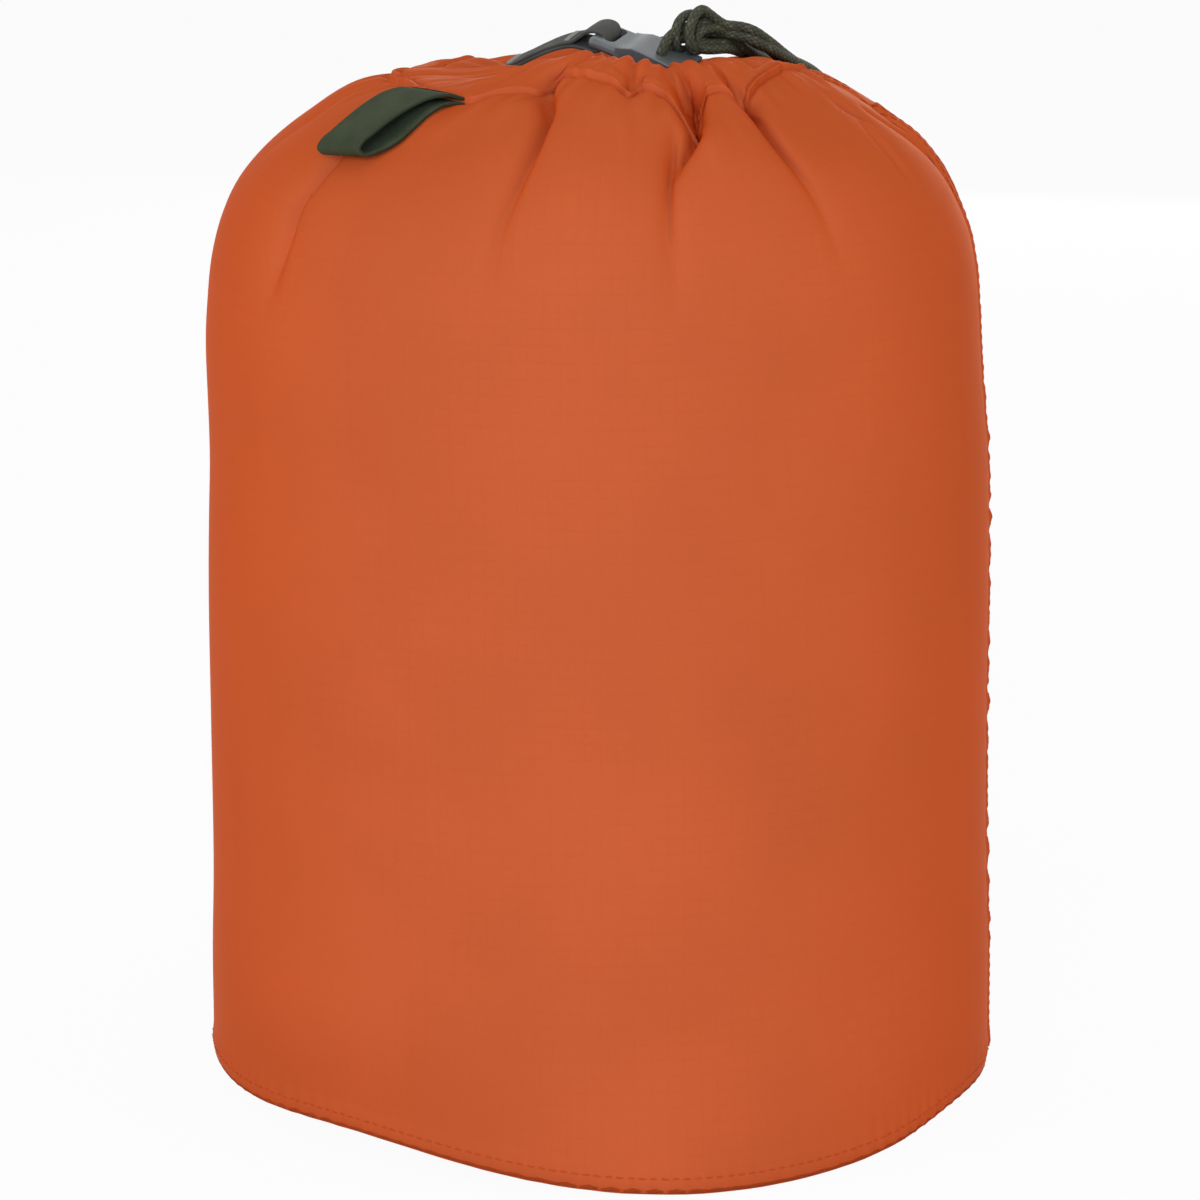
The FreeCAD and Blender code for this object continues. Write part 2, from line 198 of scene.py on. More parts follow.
def sheet_mesh(name, points, uv, closed=True, cap=False):
    """Smooth mesh of a grid of points; the rows of a closed one run round, with one more uv column."""
    rows, cols = points.shape[:2]
    cells = [(r, c) for r in range(rows - 1) for c in range(cols if closed else cols - 1)]
    corner = ((0, 0), (0, 1), (1, 1), (1, 0))
    faces = [tuple((r + dr) * cols + (c + dc) % cols for dr, dc in corner) for r, c in cells]
    places = [uv[r + dr, c + dc] for r, c in cells for dr, dc in corner]
    if cap:
        faces.append(tuple(range(cols - 1, -1, -1)))
        faces.append(tuple((rows - 1) * cols + c for c in range(cols)))
        places += [uv[0, c] for c in range(cols - 1, -1, -1)] + [uv[rows - 1, c] for c in range(cols)]
    mesh = bpy.data.meshes.new(name)
    mesh.from_pydata(points.reshape(-1, 3).tolist(), [], faces)
    layer = mesh.uv_layers.new(name="UVMap")
    layer.data.foreach_set("uv", np.asarray(places, float)[:, :2].ravel())
    mesh.polygons.foreach_set("use_smooth", [True] * len(mesh.polygons))
    mesh.validate()
    return link(name, mesh)


def only(piece):
    """Make one object the selected and active one."""
    for other in bpy.context.selected_objects:
        other.select_set(False)
    piece.select_set(True)
    bpy.context.view_layer.objects.active = piece


def apply_modifier(piece, kind, **values):
    only(piece)
    modifier = piece.modifiers.new(kind.title(), kind)
    for key, value in values.items():
        setattr(modifier, key, value)
    bpy.ops.object.modifier_apply(modifier=modifier.name)


BRAID_STRANDS = 6          # lozenges round the cord
BRAID_PITCH = 1.5          # length of a lozenge, in cord diameters
BRAID_RELIEF = 0.035       # how far the strands stand out, as a share of the radius


def braided_tube(name, line, diameter, sides=16, taper_ends=True):
    """Round braid: a tube whose surface rises and falls with its plaited strands."""
    side, up = frames_along(line)
    run = run_along(line)
    turn = np.arange(sides) / sides
    round_it, along = turn[None, :] * BRAID_STRANDS, run[:, None] / (diameter * BRAID_PITCH)
    plait = np.cos(2 * np.pi * (round_it + along)) * np.cos(2 * np.pi * (round_it - along))
    radius = diameter / 2 * (0.97 + BRAID_RELIEF * plait)
    if taper_ends:
        from_end = np.minimum(run, run[-1] - run)[:, None] / (diameter * 0.35)
        radius = radius * np.sqrt(np.clip(1 - (1 - np.clip(from_end, 0, 1)) ** 2, 0.04, 1))
    angle = turn * 2 * np.pi
    points = (line[:, None] + side[:, None] * (np.cos(angle)[None, :] * radius)[..., None]
              + up[:, None] * (np.sin(angle)[None, :] * radius)[..., None])
    uv = np.zeros((len(line), sides + 1, 2))
    uv[..., 0] = np.arange(sides + 1) / sides
    uv[..., 1] = (run / (diameter * math.pi))[:, None]
    return sheet_mesh(name, points[:, ::-1], uv[:, ::-1], cap=True)


# ---- Finishes ---------------------------------------------------------------------------------

def feed(tree, node, values):
    """Put a value or a link on each of a node's inputs."""
    for slot, value in values.items():
        if isinstance(value, bpy.types.NodeSocket):
            tree.links.new(value, node.inputs[slot])
        else:
            node.inputs[slot].default_value = value
    return node


def add(tree, kind, inputs=None, **settings):
    """New node with its settings and its inputs."""
    node = tree.nodes.new(kind)
    for key, value in settings.items():
        setattr(node, key, value)
    return feed(tree, node, inputs or {})


def calc(tree, operation, *values):
    return add(tree, "ShaderNodeMath", dict(enumerate(values)), operation=operation).outputs[0]


def remap(tree, value, low, high, out_low=0.0, out_high=1.0):
    values = dict(enumerate((value, low, high, out_low, out_high)))
    return add(tree, "ShaderNodeMapRange", values, interpolation_type="SMOOTHSTEP").outputs[0]


def node_group(name, inputs, outputs):
    """Empty shader group that takes one vector and named numbers, and puts out named numbers."""
    group = bpy.data.node_groups.new(name, "ShaderNodeTree")
    for label, value in inputs.items():
        kind = "NodeSocketVector" if value is None else "NodeSocketFloat"
        socket = group.interface.new_socket(label, in_out="INPUT", socket_type=kind)
        if value is not None:
            socket.default_value = value
    for label in outputs:
        group.interface.new_socket(label, in_out="OUTPUT", socket_type="NodeSocketFloat")
    return group, group.nodes.new("NodeGroupInput").outputs, group.nodes.new("NodeGroupOutput").inputs


def ripstop_group(name):
    """Plain weave with thicker yarns on a square grid, from cloth coordinates in metres."""
    group, given, result = node_group(
        name, {"Cloth": None, "Yarns": 2600.0, "Grid": 0.005}, ("Height", "Grid"))
    split = add(group, "ShaderNodeSeparateXYZ", {0: given["Cloth"]})
    ribs, waves = [], []
    for axis in (0, 1):
        cells = calc(group, "DIVIDE", split.outputs[axis], given["Grid"])
        near = calc(group, "ABSOLUTE", calc(group, "SUBTRACT", calc(group, "FRACT", cells), 0.5))
        ribs.append(remap(group, near, 0.43, 0.5))
        turns = calc(group, "MULTIPLY", split.outputs[axis], given["Yarns"])
        waves.append(calc(group, "SINE", turns))
    grid = calc(group, "MAXIMUM", *ribs)
    height = calc(group, "MULTIPLY_ADD", calc(group, "MULTIPLY", *waves), 0.35, grid)
    group.links.new(height, result["Height"])
    group.links.new(grid, result["Grid"])
    return group


def webbing_group(name):
    """Flat woven strap from cloth coordinates in metres: rows of warp ribs crossed by picks, and a mask for
    painted shade in the gaps between them.
    """
    group, given, result = node_group(
        name, {"Cloth": None, "Rib": 0.0011, "Pick": 0.0009}, ("Height", "Gap"))
    split = add(group, "ShaderNodeSeparateXYZ", {0: given["Cloth"]})
    across = calc(group, "DIVIDE", split.outputs[0], given["Rib"])
    shift = calc(group, "MULTIPLY", calc(group, "MODULO", calc(group, "FLOOR", across), 2.0), 0.5)
    along = calc(group, "ADD", calc(group, "DIVIDE", split.outputs[1], given["Pick"]), shift)
    rib, pick = (calc(group, "SINE", calc(group, "MULTIPLY", calc(group, "FRACT", place), math.pi))
                 for place in (across, along))
    height = calc(group, "MULTIPLY", rib, calc(group, "MULTIPLY_ADD", pick, 0.6, 0.4))
    group.links.new(height, result["Height"])
    # Mask for painted shade: 1 where the weave is low, in the gaps between ribs and picks.
    group.links.new(remap(group, height, 0.0, 0.45, 1.0, 0.0), result["Gap"])
    return group


def braid_group(name):
    """Plaited strands round a cord: lozenges, a mask for painted shade in the gaps between them, and light
    flecks.
    """
    group, given, result = node_group(
        name, {"Cloth": None, "Strands": float(BRAID_STRANDS)}, ("Height", "Gap", "Fleck"))
    split = add(group, "ShaderNodeSeparateXYZ", {0: given["Cloth"]})
    round_it = calc(group, "MULTIPLY", split.outputs[0], given["Strands"])
    along = calc(group, "MULTIPLY", split.outputs[1], calc(group, "MULTIPLY", given["Strands"], 0.72))
    slants = [calc(group, way, round_it, along) for way in ("ADD", "SUBTRACT")]
    strands = [calc(group, "ABSOLUTE", calc(group, "SINE", calc(group, "MULTIPLY", slant, math.pi)))
               for slant in slants]
    height = calc(group, "POWER", calc(group, "MULTIPLY", *strands), 0.45)
    cell = add(group, "ShaderNodeCombineXYZ",
               {axis: calc(group, "FLOOR", slant) for axis, slant in enumerate(slants)})
    noise = add(group, "ShaderNodeTexWhiteNoise", {0: cell.outputs[0]}, noise_dimensions="2D")
    group.links.new(height, result["Height"])
    # Mask for painted shade in the gaps between the strands.
    group.links.new(remap(group, height, 0.25, 0.7, 1.0, 0.0), result["Gap"])
    group.links.new(remap(group, noise.outputs["Value"], 0.55, 0.95), result["Fleck"])
    return group


def grain_group(name):
    """Fine texture and slow variation from object coordinates."""
    group, given, result = node_group(
        name, {"Place": None, "Fine": 900.0, "Broad": 30.0}, ("Fine", "Broad"))
    for label, detail in (("Fine", 2.0), ("Broad", 3.0)):
        noise = add(group, "ShaderNodeTexNoise", {
            "Vector": given["Place"], "Scale": given[label], "Detail": detail})
        group.links.new(noise.outputs["Fac"], result[label])
    return group


GROUPS = {"Ripstop": ripstop_group, "Webbing weave": webbing_group, "Cord braid": braid_group,
          "Grain": grain_group}


def use_group(tree, name, inputs):
    """Place a shared group, which is built the first time that a material needs it."""
    node = tree.nodes.new("ShaderNodeGroup")
    node.node_tree = bpy.data.node_groups.get(name) or GROUPS[name](name)
    return feed(tree, node, inputs).outputs


def blank_material(slot, roughness, **plain):
    """Material with a Principled shader, its plain values set on the shader's own sockets."""
    material = bpy.data.materials.new(slot + "_finish")
    material.use_nodes = True
    tree = material.node_tree
    shader = tree.nodes["Principled BSDF"]
    shader.inputs["Roughness"].default_value = roughness
    for key, value in plain.items():
        shader.inputs[key.replace("_", " ")].default_value = value
    return material, tree, shader, tree.nodes.new("ShaderNodeTexCoord").outputs


def blend_colour(tree, mask, first, second):
    """Colour between two others, each a plain colour or a link."""
    def whole(colour):
        return colour if isinstance(colour, bpy.types.NodeSocket) else (*colour[:3], 1)

    values = {0: mask, 6: whole(first), 7: whole(second)}
    return add(tree, "ShaderNodeMix", values, data_type="RGBA").outputs[2]


def shades(tree, mask, colour, darker, lighter):
    """A colour that varies between a darker and a lighter shade of itself."""
    return blend_colour(tree, mask, scaled(colour, darker), scaled(colour, lighter))


def bump(tree, shader, height, strength, distance, below=None):
    inputs = {"Height": height, "Strength": strength, "Distance": distance}
    if below is not None:
        inputs["Normal"] = below
    normal = add(tree, "ShaderNodeBump", inputs).outputs[0]
    tree.links.new(normal, shader.inputs["Normal"])
    return normal


def scaled(colour, factor):
    return tuple(min(1.0, c * factor) for c in colour[:3])


def shell_cloth_material(slot):
    """Satin ripstop nylon; a thin clear coat deepens its colour towards the edges."""
    material, tree, shader, place = blank_material(
        slot, 0.6, Specular_IOR_Level=0.04, Coat_Weight=1.0, Coat_IOR=1.04,
        Coat_Roughness=0.5, Coat_Tint=(1.0, 0.86, 0.66, 1.0))
    base = colours().shell
    weave = use_group(tree, "Ripstop", {"Cloth": place["UV"], "Grid": sizes().ripstop_grid})
    grain = use_group(tree, "Grain", {"Place": place["Object"], "Broad": 14.0})
    tone = shades(tree, remap(tree, grain["Broad"], 0.3, 0.7), base, 0.955, 1.035)
    lined = blend_colour(tree, calc(tree, "MULTIPLY", weave["Grid"], 0.06), tone, scaled(base, 0.72))
    tree.links.new(lined, shader.inputs["Base Color"])
    tree.links.new(remap(tree, grain["Broad"], 0.25, 0.75, 0.56, 0.64), shader.inputs["Roughness"])
    crumple = add(tree, "ShaderNodeTexNoise", {
        "Vector": place["Object"], "Scale": 42.0, "Detail": 3.0, "Roughness": 0.55})
    soft = bump(tree, shader, crumple.outputs["Fac"], 0.10, 0.0015)
    bump(tree, shader, weave["Height"], 0.16, 0.00008, below=soft)
    return material


def thread_material(slot, colour):
    """Twisted sewing thread, darker in the grooves of its twist and lighter on its crests: painted shade and
    painted highlight.
    """
    material, tree, shader, place = blank_material(slot, 0.6, Specular_IOR_Level=0.05)
    twist = add(tree, "ShaderNodeTexWave", {
        "Vector": place["Object"], "Scale": 1400.0, "Distortion": 1.5}).outputs["Fac"]
    # Painted shade in the grooves and painted highlight on the crests, following the twist that also drives
    # the bump.
    tree.links.new(shades(tree, twist, colour, 0.7, 1.15), shader.inputs["Base Color"])
    bump(tree, shader, twist, 0.4, 0.00006)
    return material


def tape_material(slot):
    """Grosgrain binding inside the base seam, painted darker as shade under the seam roll, and darker still
    between its ribs.
    """
    material, tree, shader, place = blank_material(slot, 0.7, Specular_IOR_Level=0.04)
    rows = add(tree, "ShaderNodeTexWave", {
        "Vector": place["UV"], "Scale": 260.0, "Distortion": 0.4}, bands_direction="X").outputs["Fac"]
    # Painted shade: the trim colour is scaled down to 0.55 to 0.85, darkest in the troughs between the ribs.
    tree.links.new(shades(tree, rows, colours().trim, 0.55, 0.85), shader.inputs["Base Color"])
    bump(tree, shader, rows, 0.5, 0.0001)
    return material


def webbing_material(slot, colour, rib, pick):
    """Woven strap with raised ribs, and painted shade that darkens the gaps between them."""
    material, tree, shader, place = blank_material(slot, 0.75, Specular_IOR_Level=0.12)
    weave = use_group(tree, "Webbing weave", {"Cloth": place["UV"], "Rib": rib, "Pick": pick})
    grain = use_group(tree, "Grain", {"Place": place["Object"], "Broad": 90.0})
    tone = shades(tree, remap(tree, grain["Broad"], 0.3, 0.7), colour, 0.85, 1.2)
    # Painted shade: the gaps between ribs and picks are darkened towards 0.4 of the colour.
    shaded_gaps = blend_colour(tree, calc(tree, "MULTIPLY", weave["Gap"], 0.7), tone, scaled(colour, 0.4))
    tree.links.new(shaded_gaps, shader.inputs["Base Color"])
    fuzz = bump(tree, shader, grain["Fine"], 0.15, 0.0001)
    bump(tree, shader, weave["Height"], 0.6, 0.0002, below=fuzz)
    return material


def cord_material(slot):
    """Olive braid with lighter flecks, and painted shade that darkens the gaps between its strands."""
    material, tree, shader, place = blank_material(slot, 0.65, Specular_IOR_Level=0.25)
    base = colours().cord
    fleck = (base[0] * 2.3, base[1] * 2.3, base[2] * 2.1)
    braid = use_group(tree, "Cord braid", {"Cloth": place["UV"]})
    grain = use_group(tree, "Grain", {"Place": place["Object"], "Fine": 2600.0})
    lit = blend_colour(tree, braid["Fleck"], base, fleck)
    fibre = blend_colour(tree, remap(tree, grain["Fine"], 0.35, 0.65), scaled(base, 0.75), lit)
    # Painted shade: the gaps between the strands are darkened towards 0.38 of the colour.
    shaded_gaps = blend_colour(tree, braid["Gap"], fibre, scaled(base, 0.38))
    tree.links.new(shaded_gaps, shader.inputs["Base Color"])
    fuzz = bump(tree, shader, grain["Fine"], 0.25, 0.00008)
    bump(tree, shader, braid["Height"], 0.7, 0.00035, below=fuzz)
    return material


def plastic_material(slot, colour, roughness):
    """Moulded plastic: fine grain, and a painted highlight that lightens its edges."""
    material, tree, shader, place = blank_material(slot, roughness, Specular_IOR_Level=0.6)
    grain = use_group(tree, "Grain", {"Place": place["Object"], "Fine": 1600.0, "Broad": 120.0})
    edge = remap(tree, add(tree, "ShaderNodeNewGeometry").outputs["Pointiness"], 0.52, 0.62)
    tone = shades(tree, grain["Broad"], colour, 0.85, 1.15)
    # Painted highlight: the sharper edges are lightened towards 1.9 times the colour.
    edge_highlight = blend_colour(tree, calc(tree, "MULTIPLY", edge, 0.5), tone, scaled(colour, 1.9))
    tree.links.new(edge_highlight, shader.inputs["Base Color"])
    rough = remap(tree, grain["Broad"], 0.3, 0.7, roughness - 0.05, roughness + 0.08)
    tree.links.new(rough, shader.inputs["Roughness"])
    bump(tree, shader, grain["Fine"], 0.12, 0.00006)
    return material


def steel_material(slot):
    """Drawn spring wire."""
    material, tree, shader, place = blank_material(slot, 0.3, Metallic=1.0)
    fine = use_group(tree, "Grain", {"Place": place["Object"], "Fine": 3000.0})["Fine"]
    tone = blend_colour(tree, fine, (0.42, 0.43, 0.45), (0.62, 0.62, 0.64))
    tree.links.new(tone, shader.inputs["Base Color"])
    tree.links.new(remap(tree, fine, 0.3, 0.7, 0.22, 0.38), shader.inputs["Roughness"])
    return material


def finish(slot):
    """Material for one of the record's slots, made once."""
    palette = colours()
    makers = {
        "shell_cloth": (shell_cloth_material,),
        "seam_tape": (tape_material,),
        "shell_thread": (thread_material, palette.trim),
        "cord": (cord_material,),
        "lock_plastic": (plastic_material, palette.lock, 0.3),
        "plunger_plastic": (plastic_material, scaled(palette.lock, 0.75), 0.36),
        "spring_steel": (steel_material,),
        "tether_webbing": (webbing_material, palette.tether, 0.0010, 0.0008),
        "tether_thread": (thread_material, (0.36, 0.36, 0.30)),
        "loop_webbing": (webbing_material, palette.loop, 0.0011, 0.0010),
        "loop_thread": (thread_material, scaled(palette.loop, 0.8)),
    }
    make, *values = makers[slot]
    return bpy.data.materials.get(slot + "_finish") or make(slot, *values)


def wear(data, slot):
    """Give a mesh the finish of one slot, and no other."""
    data.materials.clear()
    data.materials.append(finish(slot))


def hand_over(piece, slot, body, *nodes):
    """Give a piece its finish, its body and the nodes that it stands for."""
    wear(piece.data, slot)
    if body:
        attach(piece, body)
    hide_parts(*nodes)


# ---- Stage ------------------------------------------------------------------------------------

# Each lamp: name, place, the point that it faces, width, height, watts and colour
LAMPS = (
    ("key_softbox", (-0.25, -1.75, 0.75), (0, 0, 0.19), 0.9, 1.5, 15.0, (0.88, 1.03, 1.55)),
    ("fill_right", (1.7, -0.9, 0.6), (0, 0, 0.17), 0.9, 1.5, 12.5, (1.0, 0.86, 0.78)),
    ("fill_left", (-1.7, -0.8, 0.7), (0, 0, 0.17), 0.8, 1.5, 11.5, (1.0, 0.86, 0.78)),
    ("top_softbox", (0.1, 0.2, 1.9), (0, 0, 0.3), 1.4, 1.2, 6.0, (1, 1, 1)),
    ("fill_back", (0.4, 1.9, 0.5), (0, 0, 0.15), 1.2, 0.9, 6.0, (1, 1, 1)),
)
CAMERA_PLACE = (0.0, -1.333, 0.485)
CAMERA_TILT = 76.14
CAMERA_LENS = 125.6
WORLD_COLOUR, WORLD_STRENGTH = (1.0, 0.93, 0.88, 1), 0.26
PAPER_COLOUR = (0.86, 0.86, 0.86, 1)
FLOOR_HALF = 12.0
FLOOR_WHITE = 0.95         # the rest of the floor's look is its own paper, which takes the shadow


def area_light(name, place, aim, width, height, power, colour):
    lamp = bpy.data.lights.new(name, "AREA")
    lamp.shape = "RECTANGLE"
    lamp.size, lamp.size_y = width, height
    lamp.energy = power
    lamp.color = colour
    holder = link(name, lamp)
    holder.location = place
    holder.rotation_euler = (Vector(aim) - Vector(place)).to_track_quat("-Z", "Y").to_euler()
    holder.visible_camera = False


def white_to_camera(tree, surface, share, output):
    """Show a share of plain white where a surface is seen directly, through glass or in a reflection."""
    path = tree.nodes.new("ShaderNodeLightPath").outputs
    seen = calc(tree, "MAXIMUM", path["Is Camera Ray"], path["Is Glossy Ray"])
    seen = calc(tree, "MAXIMUM", seen, path["Is Transmission Ray"])
    white = add(tree, "ShaderNodeEmission", {"Color": (1, 1, 1, 1), "Strength": 1.0})
    mix = add(tree, "ShaderNodeMixShader", {
        0: calc(tree, "MULTIPLY", seen, share), 1: surface, 2: white.outputs[0]})
    tree.links.new(mix.outputs[0], tree.nodes[output].inputs[0])


def set_world(scene):
    world = bpy.data.worlds.new("world")
    scene.world = world
    world.use_nodes = True
    sky = feed(world.node_tree, world.node_tree.nodes["Background"], {
        "Color": WORLD_COLOUR, "Strength": WORLD_STRENGTH})
    white_to_camera(world.node_tree, sky.outputs[0], 1.0, "World Output")


def make_floor():
    grid = bmesh.new()
    bmesh.ops.create_grid(grid, x_segments=4, y_segments=4, size=FLOOR_HALF)
    mesh = bpy.data.meshes.new("floor")
    grid.to_mesh(mesh)
    grid.free()
    paper = bpy.data.materials.new("floor_paper")
    paper.use_nodes = True
    shader = feed(paper.node_tree, paper.node_tree.nodes["Principled BSDF"], {
        "Base Color": PAPER_COLOUR, "Roughness": 0.9, "Specular IOR Level": 0.0})
    white_to_camera(paper.node_tree, shader.outputs[0], FLOOR_WHITE, "Material Output")
    mesh.materials.append(paper)
    return link("floor", mesh)


class STUFFSACK_OT_stage(bpy.types.Operator):
    """Set the camera, the lights, the world and the floor"""

    bl_idname = "stuff_sack.stage"
    bl_label = "Stage"

    def execute(self, context):
        scene = context.scene
        camera = bpy.data.cameras.new("camera")
        camera.lens = CAMERA_LENS
        camera.sensor_width = 36.0
        camera.clip_end = 50.0
        holder = link("camera", camera)
        holder.location = CAMERA_PLACE
        holder.rotation_euler = (math.radians(CAMERA_TILT), 0.0, 0.0)
        scene.camera = holder
        scene.view_settings.view_transform = "Standard"
        for lamp in LAMPS:
            area_light(*lamp)
        set_world(scene)
        make_floor()
        return {"FINISHED"}


# ---- Frame of the cord lock --------------------------------------------------------------------

LOCK_ORIGIN = Vector((1.0, 0.8, 340.3))       # middle of the bar that the tether is looped round
LOCK_YAW, LOCK_SLOPE, LOCK_ROLL = -20.0, 19.0, 10.0
CORD_HOLE_X = 21.0
CORD_HOLE_Y = 3.0
HOUSING_BACK, HOUSING_FACE = -3.3, 3.6        # where the cords enter and leave the housing


def lock_turn():
    """Rotation of the lock: its length slopes into the neck and its face leans to the front."""
    yaw, slope, roll = (math.radians(a) for a in (LOCK_YAW, LOCK_SLOPE, LOCK_ROLL))
    return Matrix.Rotation(yaw, 3, "Z") @ Matrix.Rotation(slope, 3, "Y") @ Matrix.Rotation(roll, 3, "X")


def in_hole(side, *heights):
    """Points in the rear (1) or front (-1) cord hole, given by their height over the lock's middle."""
    return [(LOCK_ORIGIN + lock_turn() @ Vector((CORD_HOLE_X, side * CORD_HOLE_Y, z))) * MM for z in heights]


# ---- Drawcord ---------------------------------------------------------------------------------

# The two ends of the ring, where the cord leaves the channel
RING_REAR, RING_FRONT = mm((38.5, 14.9, 329.0), (-2.5, 25.8, 327.9))
CHANNEL_RING = [RING_FRONT] + mm(
    (-8.8, 23.6, 323.9), (-14.2, 17.8, 322.6), (-18.1, 8.8, 323.3), (-19.2, -3.6, 325.3),
    (-13.8, -18.6, 328.1), (-2.8, -28.5, 332.1), (9.0, -31.6, 331.0), (18.4, -31.0, 329.9),
    (27.0, -27.8, 330.3), (35.4, -21.8, 330.3), (42.6, -10.0, 328.5), (44.1, 2.5, 327.0),
    (42.1, 8.6, 327.0)) + [RING_REAR]
LEAD_REAR = [RING_REAR] + mm(
    (34.5, 21.8, 328.3), (22.5, 16.7, 323.8), (20.9, 14.5, 318.6), (17.9, 5.5, 312.6),
    (16.9, 0.5, 322.6)) + in_hole(1, HOUSING_BACK)
LEAD_FRONT = [RING_FRONT] + mm(
    (4.4, 29.8, 327.5), (12.5, 19.4, 323.5), (10.6, 9.0, 317.7), (11.6, 0.0, 311.7),
    (14.6, -5.0, 321.7)) + in_hole(-1, HOUSING_BACK)

# The knot: the loop that each tail makes in it, and the turn that it makes on its way back from the hank
KNOT_REAR = in_hole(1, HOUSING_BACK, 0.0, HOUSING_FACE) + mm(
    (24.5, -1.6, 340.0), (28.5, 3.0, 340.8), (33.0, 7.0, 341.4), (36.0, 11.0, 340.2),
    (34.0, 12.5, 337.0), (30.0, 8.5, 336.0), (26.8, 2.5, 335.6), (25.0, -2.8, 336.2),
    (24.0, -5.0, 338.6), (23.8, -5.2, 342.8), (25.4, -2.6, 346.2), (28.4, 2.0, 347.4),
    (32.4, 6.4, 346.0), (36.5, 8.4, 343.4), (41.0, 8.6, 341.4))
KNOT_FRONT = in_hole(-1, HOUSING_BACK, 0.0, HOUSING_FACE) + mm(
    (21.6, -6.4, 341.2), (26.4, -0.6, 343.2), (31.5, 3.4, 343.8), (36.0, 7.5, 343.6),
    (38.0, 11.0, 341.0), (36.5, 11.5, 337.8), (33.5, 6.5, 336.4), (30.8, 0.5, 335.8),
    (29.2, -4.2, 336.4), (28.3, -6.0, 339.0), (28.1, -5.8, 342.6), (29.4, -3.6, 346.6),
    (32.0, 0.4, 349.4), (35.4, 3.4, 346.6), (38.8, 5.4, 343.8), (42.0, 6.6, 342.4))
TURN_REAR = mm((40.5, 8.6, 337.4), (35.4, 4.8, 337.5), (31.2, 1.5, 338.3), (29.6, 0.4, 340.9),
               (31.2, 1.7, 343.6), (35.2, 4.9, 344.6), (39.0, 7.6, 343.2))
TURN_FRONT = mm((41.0, 6.0, 336.0), (35.9, 2.0, 335.9), (31.6, -1.4, 336.5), (29.9, -2.5, 339.1),
                (31.4, -0.9, 341.9), (35.2, 2.7, 343.0), (39.2, 6.0, 341.8))
TUCKED_END = mm((36.0, 8.8, 340.0))
CUT_END = mm((34.0, 7.6, 341.4), (29.0, 7.4, 339.4), (24.0, 6.8, 338.5), (18.2, 4.6, 338.0))

# The hank: the way that its strands share on top, the one underneath, and its far tip
HANK_OVER = mm((46, 8, 341.0), (53, 14, 336.6), (58.5, 23, 332.2), (63, 33, 329.2), (67, 44, 325.5),
               (71, 56, 320.8))
HANK_UNDER = mm((46, 17, 335.6), (52, 36, 331.8), (56, 52, 327.2), (62, 64, 322.2))
HANK_TIP = mm((70, 66.5, 317.4))[0]
HANK_HEADING = Vector((0.35, 0.9, -0.35)).normalized()
SPREAD_BY = 1.4            # the strands have spread fully after 1 / 1.4 of the hank's length


def strand(route, near, far, lift, settle):
    """One strand of the hank: the shared way, moved aside (near to far) and up (lift to settle)."""
    points = []
    for i, point in enumerate(route):
        ahead = route[min(i + 1, len(route) - 1)] - route[max(i - 1, 0)]
        side = ahead.cross(Vector((0, 0, 1))).normalized()
        up = side.cross(ahead).normalized()
        spread = min(1.0, i / (len(route) - 1) * SPREAD_BY)
        points.append(point + side * (near + (far - near) * spread) * MM
                      + up * (lift + (settle - lift) * spread) * MM)
    return points


def fold(over, under, reach):
    """Out over the shoulder on one side of the hank, round its tip and back on the other."""
    tip = HANK_TIP + HANK_HEADING * reach * MM
    return strand(HANK_OVER, *over) + [tip] + strand(HANK_UNDER, *under)[::-1]


def rear_tail():
    """Rear end of the cord: lock, knot, two folds of the hank, and its end tucked into the knot."""
    return (KNOT_REAR + fold((-1.6, -1.6, 1.6, -1.6), (-1.6, -1.6, 1.0, 1.2), 2.0) + TURN_REAR
            + fold((1.8, 1.5, 1.7, -1.6), (1.6, 1.7, 1.2, 1.2), -1.0) + TUCKED_END)


def front_tail():
    """Front end of the cord: lock, knot, two folds of the hank, and its cut end out of the knot."""
    return (KNOT_FRONT + fold((-1.5, -3.2, 1.6, -1.6), (-1.6, -1.8, -1.9, -1.8), 1.5) + TURN_FRONT
            + fold((1.8, 4.2, -1.5, -1.6), (1.6, 1.5, -1.8, -1.8), 1.0)[::-1] + CUT_END)


def drawcord_piece(name, route, body, nodes, spacing=0.2):
    """One stretch of the cord, with points some share of its diameter apart; returns its line too."""
    diameter = sizes().cord_diameter
    line = line_points(route, diameter * spacing)
    piece = braided_tube(name, line, diameter)
    hand_over(piece, "cord", body, *nodes)
    return piece, line


class STUFFSACK_OT_drawcord(bpy.types.Operator):
    """Braided drawcord: its ring in the channel, its two ends to the lock, its knot and folded hank"""

    bl_idname = "stuff_sack.drawcord"
    bl_label = "Drawcord"

    def execute(self, context):
        drawcord_piece("drawcord_in_channel", CHANNEL_RING, "sack", ["channel_cord"],
                       spacing=0.4)
        for name, route, length in (("lead_cord_rear", LEAD_REAR, 0.054),
                                    ("lead_cord_front", LEAD_FRONT, 0.060)):
            piece, line = drawcord_piece(name + "_braid", route, None, [name])
            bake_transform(piece)
        drawcord_piece("knotted_tail_rear", rear_tail(), "cord_lock",
                       ["tail_cord_rear", "drawcord_hank"])
        drawcord_piece("knotted_tail_front", front_tail(), "cord_lock",
                       ["tail_cord_front", "drawcord_knot", "drawcord_end"])
        return {"FINISHED"}


# ---- Shape of the filled sack -----------------------------------------------------------------

# Everything in this section is in millimetres and degrees. A row is a distance along the outline
# from the hem circle, less than 0 below it; an angle runs round the neck.

